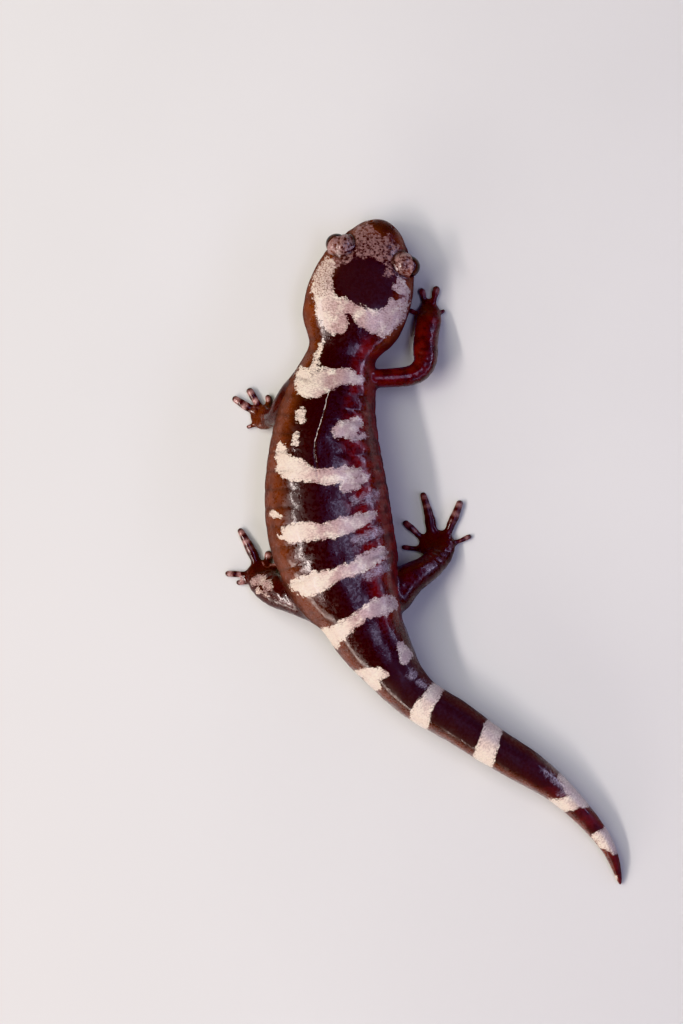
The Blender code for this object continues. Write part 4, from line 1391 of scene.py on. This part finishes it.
def body_place_node(tree, stretch):
    """Place for patterns that run across the body: they are stretched across it by a factor."""
    height = put(tree, "ShaderNodeSeparateXYZ", {0: object_place(tree)}).outputs[2]
    across = times(tree, field(tree, "across"), MM / stretch)
    along = times(tree, field(tree, "along"), MM)
    return put(tree, "ShaderNodeCombineXYZ", {0: across, 1: along, 2: height}).outputs[0]


def ragged_edge_group(name):
    """Mask of a mark from how far inside it a point is, its edge frayed in streaks across the body."""
    inputs = (("Inside", 0.0), ("Fray", 0.2), ("Softness", 0.05))
    tree, given, result, place = start_group(name, inputs, "Mask")
    across = body_place_node(tree, 2.2)
    lobes = minus(tree, noise(tree, place, 800.0, 2.0), 0.5)
    streaks = minus(tree, noise(tree, across, 2700.0, 2.0, 0.6), 0.5)
    grains = minus(tree, noise(tree, place, 6500.0, 1.0), 0.5)
    uneven = plus(tree, times(tree, lobes, 1.7), times(tree, streaks, 1.7))
    uneven = plus(tree, uneven, times(tree, grains, 0.8))
    shift = times(tree, uneven, times(tree, given["Fray"], 4.0))
    low = times(tree, given["Softness"], -1.0)
    mask = ramp(tree, plus(tree, given["Inside"], shift), low, given["Softness"])
    tree.links.new(mask, result)
    return tree


def freckle_group(name):
    """Mask of small scattered dots: near the middle of some of the cells of a cell pattern."""
    inputs = (("Scale", 4000.0), ("Size", 0.35), ("Share", 0.5))
    tree, given, result, place = start_group(name, inputs, "Mask")
    cells = put(tree, "ShaderNodeTexVoronoi", {"Vector": place, "Scale": given["Scale"]}).outputs
    away = ramp(tree, cells["Distance"], times(tree, given["Size"], 0.4), given["Size"])
    pick = put(tree, "ShaderNodeSeparateColor", {0: cells["Color"]}).outputs[0]
    keep = maths(tree, "LESS_THAN", pick, given["Share"])
    tree.links.new(times(tree, minus(tree, 1.0, away), keep), result)
    return tree


def grain_group(name):
    """Height of fine wet grain: pores in a cell pattern over soft noise."""
    inputs = (("Scale", 3000.0), ("Pores", 0.5))
    tree, given, result, place = start_group(name, inputs, "Height")
    soft = noise(tree, place, given["Scale"], 3.0, 0.6)
    cells = {"Vector": place, "Scale": times(tree, given["Scale"], 1.6)}
    pores = put(tree, "ShaderNodeTexVoronoi", cells, feature="SMOOTH_F1").outputs["Distance"]
    tree.links.new(plus(tree, soft, times(tree, pores, given["Pores"])), result)
    return tree


def use_group(tree, name, build, inputs):
    """Result of a node group, which is built at its first use."""
    group = bpy.data.node_groups.get(name) or build(name)
    return put(tree, "ShaderNodeGroup", inputs, node_tree=group).outputs[0]


def ragged_edge(tree, inside, fray, softness):
    """Mask of a mark with a frayed edge."""
    inputs = {"Inside": inside, "Fray": fray, "Softness": softness}
    return use_group(tree, "ragged edge", ragged_edge_group, inputs)


def freckles(tree, scale, size, share):
    """Mask of small scattered dots."""
    return use_group(tree, "freckles", freckle_group, {"Scale": scale, "Size": size, "Share": share})


def wet_grain(tree, scale, pores):
    """Height of fine wet grain."""
    return use_group(tree, "wet grain", grain_group, {"Scale": scale, "Pores": pores})


def back_line(tree, shift, width, last):
    """Bell curve across the fine groove of the back, from the shoulders to a distance from the snout."""
    wobble = times(tree, minus(tree, noise(tree, object_place(tree), 900.0, 2.0), 0.5), 0.35)
    beside = minus(tree, plus(tree, field(tree, "beside"), wobble), shift)
    beside = maths(tree, "DIVIDE", beside, width)
    bell = maths(tree, "EXPONENT", times(tree, beside, beside, -1.0))
    along = field(tree, "along")
    begin = ramp(tree, along, 21.5, 23.5)
    end = ramp(tree, along, last, last + 4.0, 1.0, 0.0)
    return times(tree, bell, times(tree, begin, end))


def new_material(name):
    """Material with an empty node tree but for its shader and output."""
    material = bpy.data.materials.new(name)
    material.use_nodes = True
    return material, material.node_tree, material.node_tree.nodes["Principled BSDF"]


def dark_skin(tree, mottle):
    """Black ground, maroon of the right side and legs, and brown flanks with a few light dots."""
    colours = bpy.context.scene.salamander_colours
    red = times(tree, field(tree, "red"), ramp(tree, mottle, 0.36, 0.60, 0.20, 0.85))
    colour = blend(tree, red, colours.ground, colours.maroon)
    # Painted light: the brown of the upper flanks is partly orange light reflected from below.
    brown = times(tree, field(tree, "brown"), ramp(tree, mottle, 0.30, 0.62, 0.50, 1.0))
    colour = blend(tree, brown, colour, colours.flank)
    dots = freckles(tree, DOT_SCALE, 0.42, 0.14)
    dots = times(tree, dots, times(tree, field(tree, "brown"), 0.35))
    return blend(tree, dots, colour, colours.snout)


def dusty_skin(tree, colour, streak, fray):
    """Freckled grey of the snout and lids, and the dusty marks beside the bands, partly painted bluish
    glints, over a colour.
    """
    colours = bpy.context.scene.salamander_colours
    net = times(tree, freckles(tree, NET_SCALE, 0.50, 0.75), 0.88)
    veil = ramp(tree, noise(tree, object_place(tree), VEIL_SCALE, 3.0, 0.65), 0.38, 0.56, 0.25, 1.0)
    patch = ragged_edge(tree, field(tree, "speckled"), fray * 1.4, 0.16)
    speckled = times(tree, veil, minus(tree, 1.0, net), patch, clamp=True)
    colour = blend(tree, speckled, colour, colours.snout)
    # Painted reflection: the faint marks are partly bluish glints painted into the colour.
    faint = ragged_edge(tree, field(tree, "faint"), fray * 1.2, 0.40)
    faint = times(tree, faint, ramp(tree, streak, 0.38, 0.62, 0.22, 0.80))
    return blend(tree, faint, colour, colours.faint)


def band_mask(tree, streak, fray):
    """Mask of the bands, with dark specks and thin streaks that are thickest at their rims."""
    strength = bpy.context.scene.salamander_marks.speck_strength
    fray_along = ramp(tree, field(tree, "along"), 50.0, 60.0, fray, fray * 0.5)
    pale = ragged_edge(tree, field(tree, "pale"), fray_along, 0.10)
    flecked = field(tree, "flecked")
    rim = ramp(tree, field(tree, "pale"), 0.0, 0.60, 1.0, 0.0)
    specks = freckles(tree, SPECK_SCALE, 0.48, plus(tree, times(tree, flecked, 0.40), 0.20))
    dark = maths(tree, "MAXIMUM", flecked, plus(tree, times(tree, rim, 0.7), 0.16))
    specks = times(tree, specks, times(tree, dark, strength), clamp=True)
    share = maths(tree, "MAXIMUM", times(tree, rim, 0.55), times(tree, flecked, 0.30))
    thin = minus(tree, 1.0, ramp(tree, streak, 0.38, 0.56))
    thin = times(tree, thin, plus(tree, share, 0.08), clamp=True)
    return times(tree, pale, minus(tree, 1.0, specks), minus(tree, 1.0, thin))


def band_tint(tree, mottle, streak):
    """Colour of the bands: lighter blotches and tail, painted light on the left edge, greyer streaks,
    flecks, and painted bluish light on the right edge.
    """
    colours = bpy.context.scene.salamander_colours
    tint = colours.pale
    for amount, colour in (
        (ramp(tree, mottle, 0.44, 0.68), colours.pale_warm),
        # Painted light: the left ends of the bands are made lighter, as where the lamps fall on them.
        (ramp(tree, field(tree, "side"), -0.50, -0.12, 0.75, 0.0), colours.pale_warm),
        (ramp(tree, field(tree, "along"), 57.0, 62.0, 0.0, 0.55), colours.pale_warm),
        (ramp(tree, streak, 0.40, 0.62, 0.42, 0.0), colours.snout),
        (times(tree, field(tree, "flecked"), 0.42), colours.snout),
        # Painted light: the right ends of the bands are tinted bluish, as if lit by a cool lamp.
        (ramp(tree, field(tree, "side"), 0.0, 0.40, 0.0, 0.42), colours.faint),
    ):
        tint = blend(tree, amount, tint, colour)
    return tint


def fine_marks(tree, colour, fleck):
    """Painted highlight line beside the groove of the back, light toe rings and painted shade in the
    creases, over a colour.
    """
    colours = bpy.context.scene.salamander_colours
    # Painted highlight: a dashed pale line beside the groove of the back, where light glints on its edge.
    glint_dashes = ramp(tree, noise(tree, object_place(tree), GLINT_DASH_SCALE, 2.0), 0.40, 0.55, 0.15, 0.90)
    glint_line = times(tree, back_line(tree, GLINT_LINE_OFFSET, GLINT_LINE_WIDTH, GLINT_LINE_END), glint_dashes)
    colour = blend(tree, glint_line, colour, colours.pale_warm)
    toe = times(tree, field(tree, "toe"), ramp(tree, fleck, 0.35, 0.55, 0.45, 0.85), clamp=True)
    colour = blend(tree, toe, colour, colours.toe)
    # Painted shade: the mouth line, nostrils, lid creases and rib grooves are darkened towards the crease
    # colour.
    return blend(tree, times(tree, field(tree, "hollow"), 0.85, clamp=True), colour, colours.crease)


def add_wetness(tree, shader, pale):
    """Coat in wet patches, least where the skin is matt, and roughness, most there and on the bands."""
    matt = field(tree, "matt")
    wet = ramp(tree, noise(tree, body_place_node(tree, 1.6), WET_SCALE, 3.0), 0.36, 0.60, 0.10, 0.60)
    wet = times(tree, wet, minus(tree, 1.0, times(tree, matt, 0.9)))
    tree.links.new(wet, shader.inputs["Coat Weight"])
    rough = ramp(tree, noise(tree, object_place(tree), GLOSS_SCALE, 3.0, 0.65), 0.36, 0.62, 0.13, 0.42)
    rough = plus(tree, rough, times(tree, pale, 0.08))
    rough = plus(tree, rough, times(tree, matt, 0.42))
    tree.links.new(rough, shader.inputs["Roughness"])


def add_fine_relief(tree, shader, mottle, pale):
    """Grain and low blotches, with the fine groove of the back cut into them."""
    marks = bpy.context.scene.salamander_marks
    height = plus(tree, wet_grain(tree, GRAIN_SCALE, 0.55), times(tree, mottle, 3.0))
    height = plus(tree, height, times(tree, pale, 0.35))
    grain = bump(tree, 1.0, marks.grain_height, height)
    depth = times(tree, back_line(tree, 0.0, CREASE_WIDTH, CREASE_END), -1.0)
    groove = bump(tree, 1.0, marks.crease_depth, depth, Normal=grain)
    tree.links.new(groove, shader.inputs["Normal"])


def skin_material():
    """Wet black skin with pale frayed bands, brown flanks, a freckled snout and light toe rings."""
    material, tree, shader = new_material("salamander skin")
    fray = bpy.context.scene.salamander_marks.fray / MM
    mottle = noise(tree, object_place(tree), MOTTLE_SCALE, 3.0)
    fleck = noise(tree, object_place(tree), FLECK_SCALE, 2.0)
    streak = noise(tree, body_place_node(tree, 1.7), STREAK_SCALE, 3.0, 0.65)
    colour = dusty_skin(tree, dark_skin(tree, mottle), streak, fray)
    pale = band_mask(tree, streak, fray)
    colour = blend(tree, pale, colour, band_tint(tree, mottle, streak))
    tree.links.new(fine_marks(tree, colour, fleck), shader.inputs["Base Color"])
    add_wetness(tree, shader, pale)
    add_fine_relief(tree, shader, mottle, pale)
    shader.inputs["Specular IOR Level"].default_value = 0.55
    shader.inputs["Coat Roughness"].default_value = 0.10
    shader.inputs["Coat IOR"].default_value = 1.38
    shader.inputs["Subsurface Weight"].default_value = 0.08
    shader.inputs["Subsurface Radius"].default_value = (1.0, 0.5, 0.4)
    shader.inputs["Subsurface Scale"].default_value = 0.0003
    return material


def eye_material():
    """Black pupil, dark brown iris with silvery flecks and a dark surround, under a wet cornea."""
    colours = bpy.context.scene.salamander_colours
    material, tree, shader = new_material("salamander eye")
    gaze = field(tree, "gaze")
    outside_pupil = ramp(tree, gaze, *PUPIL_EDGE)
    iris = times(tree, outside_pupil, ramp(tree, gaze, *IRIS_EDGE, 1.0, 0.0))
    colour = blend(tree, iris, colours.eye, colours.iris)
    flecks = times(tree, iris, freckles(tree, 9000.0, 0.50, 0.35), 0.16)
    tree.links.new(blend(tree, flecks, colour, colours.pale), shader.inputs["Base Color"])
    grain = bump(tree, 0.4, 0.000002, wet_grain(tree, 1800.0, 0.2))
    tree.links.new(grain, shader.inputs["Normal"])
    shader.inputs["Roughness"].default_value = 0.07
    shader.inputs["Specular IOR Level"].default_value = 0.4
    return material


def floor_material():
    """Pale matt floor with a faint cloudiness."""
    colours = bpy.context.scene.salamander_colours
    material, tree, shader = new_material("studio floor")
    cloud = ramp(tree, noise(tree, object_place(tree), 9.0, 3.0), 0.35, 0.65)
    tree.links.new(blend(tree, cloud, colours.floor, colours.floor_shade), shader.inputs["Base Color"])
    shader.inputs["Roughness"].default_value = 0.62
    return material


# Stage

def light_place(lean, heading, reach):
    """Place at a lean from straight up, towards a heading in the plan, at a distance."""
    lean = math.radians(lean)
    heading = math.radians(heading)
    return (
        reach * math.sin(lean) * math.cos(heading),
        reach * math.sin(lean) * math.sin(heading),
        reach * math.cos(lean),
    )


def add_light(name, place, size, shown):
    """Soft box of a size, facing the animal, that lights colours, glints or both."""
    studio = bpy.context.scene.salamander_studio
    data = bpy.data.lights.new(name, "AREA")
    data.shape = "RECTANGLE"
    data.size, data.size_y = size
    data.energy = getattr(studio, name + "_power")
    data.color = getattr(studio, name + "_colour")
    light = bpy.data.objects.new(name, data)
    light.location = light_place(*place)
    light.rotation_euler = (Vector(LIGHT_AIM) - light.location).to_track_quat("-Z", "Y").to_euler()
    light.visible_diffuse = shown != "glossy"
    light.visible_glossy = shown != "diffuse"
    bpy.context.scene.collection.objects.link(light)


def add_floor():
    """Square floor just under the animal."""
    half = FLOOR_SIZE / 2.0
    drop = -FLOOR_DROP
    corners = [(-half, -half, drop), (half, -half, drop), (half, half, drop), (-half, half, drop)]
    mesh = bpy.data.meshes.new("floor")
    mesh.from_pydata(corners, [], [(0, 1, 2, 3)])
    mesh.materials.append(floor_material())
    floor = bpy.data.objects.new("floor", mesh)
    bpy.context.scene.collection.objects.link(floor)


def add_room():
    """Light of the room around: a dark ceiling over warm walls."""
    studio = bpy.context.scene.salamander_studio
    world = bpy.data.worlds.new("room")
    world.use_nodes = True
    tree = world.node_tree
    up = put(tree, "ShaderNodeSeparateXYZ", {0: tree.nodes.new("ShaderNodeTexCoord").outputs["Generated"]})
    walls = ramp(tree, up.outputs[2], 0.15, 0.60, 1.0, 0.0)
    room = blend(tree, walls, (*studio.room_colour, 1.0), (*studio.wall_colour, 1.0))
    tree.links.new(room, tree.nodes["Background"].inputs["Color"])
    tree.nodes["Background"].inputs["Strength"].default_value = studio.room_strength
    bpy.context.scene.world = world


def add_camera():
    """Camera straight above, and how it shows light and dark."""
    data = bpy.data.cameras.new("camera")
    data.sensor_width = 36.0
    data.lens = CAMERA_LENS
    data.clip_start = 0.01
    data.clip_end = 10.0
    camera = bpy.data.objects.new("camera", data)
    camera.location = [c * MM for c in CAMERA_PLACE]
    bpy.context.scene.collection.objects.link(camera)
    bpy.context.scene.camera = camera
    view = bpy.context.scene.view_settings
    view.view_transform = "Khronos PBR Neutral"
    view.look = "None"
    view.exposure = 0.0
    view.use_curve_mapping = True
    view.curve_mapping.black_level = DARK_LEVEL
    view.curve_mapping.update()


def build_stage():
    """Pale floor, eight soft lights, a room with warm walls and the camera straight above."""
    add_floor()
    for light in LIGHTS:
        add_light(*light)
    add_room()
    add_camera()


# What a user can change

def colour_property(name, description, default):
    """Colour with an opaque alpha."""
    return bpy.props.FloatVectorProperty(
        name=name, description=description, default=(*default, 1.0), size=4, min=0.0, max=1.0,
        subtype="COLOR")


def length_property(name, description, default):
    """Length in metres."""
    return bpy.props.FloatProperty(
        name=name, description=description, default=default, min=0.0, precision=6, subtype="DISTANCE")


def light_property(name, description, default):
    """Colour of a light."""
    return bpy.props.FloatVectorProperty(
        name=name, description=description, default=default, size=3, min=0.0, max=1.0, subtype="COLOR")


def power_property(name, description, default):
    """Power of a light."""
    return bpy.props.FloatProperty(
        name=name, description=description, default=default, min=0.0, unit="POWER")


class SalamanderShape(bpy.types.PropertyGroup):
    mouth_depth: length_property("Mouth depth", "Depth of the line of the mouth", 0.00026)
    groove_depth: length_property("Rib groove depth", "Depth of the grooves over the ribs", 0.00012)
    swell: length_property("Swell", "Height of the low swell all over the skin", 0.00004)


class SalamanderMarks(bpy.types.PropertyGroup):
    fray: length_property("Fray", "How uneven the edges of the bands are", 0.00016)
    grain_height: length_property("Grain height", "Height of the fine grain of the skin", 0.000018)
    crease_depth: length_property("Back groove", "Depth of the fine groove of the back", 0.00007)
    speck_strength: bpy.props.FloatProperty(
        name="Specks", description="How dark the specks in the bands are", default=0.75, min=0.0, max=1.0,
        subtype="FACTOR")


class SalamanderColours(bpy.types.PropertyGroup):
    ground: colour_property("Ground", "Black of the back", (0.0195, 0.0022, 0.0026))
    maroon: colour_property("Maroon", "Dark red of the right side and the legs", (0.1650, 0.0210, 0.0190))
    # Partly painted orange reflected light on the flanks, partly the thin skin's own brown.
    flank: colour_property("Flank", "Thin brown skin of head, flanks and palms", (0.150, 0.036, 0.013))
    pale: colour_property("Bands", "Pale bands", (0.53, 0.385, 0.36))
    # Also the colour of the painted light on the left ends of the bands and of the painted highlight line.
    pale_warm: colour_property("Bands, light", "Lighter parts of the bands", (0.92, 0.86, 0.72))
    # Also a painted bluish reflection: on the faint marks and on the right ends of the bands.
    faint: colour_property("Faint marks", "Dusty marks beside the bands", (0.40, 0.37, 0.46))
    snout: colour_property("Snout", "Freckled grey of snout and lids", (0.29, 0.180, 0.172))
    # Painted shade: the dark colour put in the mouth line, the nostrils and the creases.
    crease: colour_property("Creases", "Bottom of folds, mouth and nostrils", (0.006, 0.0025, 0.0025))
    toe: colour_property("Toe rings", "Light rings of the toes", (0.52, 0.30, 0.28))
    eye: colour_property("Eye", "Pupil and surround of the eye", (0.003, 0.002, 0.002))
    iris: colour_property("Iris", "Iris of the eye", (0.042, 0.014, 0.009))
    floor: colour_property("Floor", "Pale floor", (0.70, 0.735, 0.725))
    floor_shade: colour_property("Floor shade", "Clouds in the floor", (0.66, 0.695, 0.685))


class SalamanderStudio(bpy.types.PropertyGroup):
    key_power: power_property("Key power", "Power of the key light", 1.35)
    fill_power: power_property("Fill power", "Power of the broad light on the key's side", 2.0)
    sky_power: power_property("Sky power", "Power of the cool light above the right side", 0.50)
    low_power: power_property("Low power", "Power of the low light at the tail", 0.6)
    sheen_power: power_property("Sheen power", "Power of the soft light over the left hip", 0.36)
    rim_power: power_property("Rim power", "Power of the cool low light on the right", 0.55)
    hip_power: power_property("Hip power", "Power of the small light that glints on the left hip", 0.15)
    fore_power: power_property("Fore power", "Power of the cool light that glints on the right arm", 0.36)
    room_strength: bpy.props.FloatProperty(
        name="Room strength", description="Brightness of the room around", default=1.0, min=0.0)
    key_colour: light_property("Key colour", "Colour of the key light", (1.0, 0.88, 0.84))
    fill_colour: light_property("Fill colour", "Colour of the broad light", (1.0, 0.94, 0.82))
    sky_colour: light_property("Sky colour", "Colour of the cool light", (0.66, 0.64, 0.92))
    rim_colour: light_property("Rim colour", "Colour of the cool low light", (0.70, 0.68, 1.0))
    fore_colour: light_property("Fore colour", "Colour of the light at the right arm", (0.70, 0.68, 1.0))
    hip_colour: light_property("Hip colour", "Colour of the light at the left hip", (1.0, 0.84, 0.82))
    sheen_colour: light_property("Sheen colour", "Colour of the light over the left hip", (1.0, 0.70, 0.67))
    low_colour: light_property("Low colour", "Colour of the low light", (1.0, 0.86, 0.80))
    room_colour: light_property("Ceiling colour", "Light of the ceiling", (0.055, 0.050, 0.060))
    wall_colour: light_property("Wall colour", "Light of the walls", (0.24, 0.17, 0.14))


# Operators and panel

class SALAMANDER_OT_add_skin(bpy.types.Operator):
    """Add the skin over body, legs, toes and lids"""

    bl_idname = "salamander.add_skin"
    bl_label = "Add skin"

    def execute(self, context):
        skin = build_skin()
        if len(skin.data.polygons) < LEAST_SKIN_FACES:
            raise RuntimeError("the skin lost most of its faces when its pieces were joined")
        skin.data.materials.clear()
        skin.data.materials.append(skin_material())
        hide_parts(*FLESH_NODES)
        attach(skin, "root")
        return {"FINISHED"}


class SALAMANDER_OT_add_eyes(bpy.types.Operator):
    """Add the two eyeballs"""

    bl_idname = "salamander.add_eyes"
    bl_label = "Add eyes"

    def execute(self, context):
        material = eye_material()
        for side, label in ((-1.0, "left"), (1.0, "right")):
            eye = build_eye(side, "eyeball_" + label)
            eye.data.materials.append(material)
            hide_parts("eye_" + label)
            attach(eye, "root")
        return {"FINISHED"}


class SALAMANDER_OT_add_stage(bpy.types.Operator):
    """Add the floor, the lights and the camera"""

    bl_idname = "salamander.add_stage"
    bl_label = "Add stage"

    def execute(self, context):
        build_stage()
        return {"FINISHED"}


class SALAMANDER_PT_panel(bpy.types.Panel):
    """Sizes, colours and pieces of the salamander"""

    bl_idname = "SALAMANDER_PT_panel"
    bl_label = "Marbled salamander"
    bl_space_type = "VIEW_3D"
    bl_region_type = "UI"
    bl_category = "Salamander"

    def draw(self, context):
        for operator in OPERATORS:
            self.layout.operator(operator.bl_idname)
        for name in SETTINGS:
            group = getattr(context.scene, name)
            box = self.layout.box()
            for key in group.bl_rna.properties.keys():
                if key not in ("rna_type", "name"):
                    box.prop(group, key)


SETTINGS = {
    "salamander_shape": SalamanderShape,
    "salamander_marks": SalamanderMarks,
    "salamander_colours": SalamanderColours,
    "salamander_studio": SalamanderStudio,
}
OPERATORS = (SALAMANDER_OT_add_skin, SALAMANDER_OT_add_eyes, SALAMANDER_OT_add_stage)
CLASSES = (*SETTINGS.values(), *OPERATORS, SALAMANDER_PT_panel)


def register():
    for cls in CLASSES:
        bpy.utils.register_class(cls)
    for name, group in SETTINGS.items():
        setattr(bpy.types.Scene, name, bpy.props.PointerProperty(type=group))


def unregister():
    for name in SETTINGS:
        delattr(bpy.types.Scene, name)
    for cls in reversed(CLASSES):
        bpy.utils.unregister_class(cls)


def main():
    register()
    bpy.ops.salamander.add_skin()
    bpy.ops.salamander.add_eyes()
    bpy.ops.salamander.add_stage()


if __name__ == "__main__":
    main()
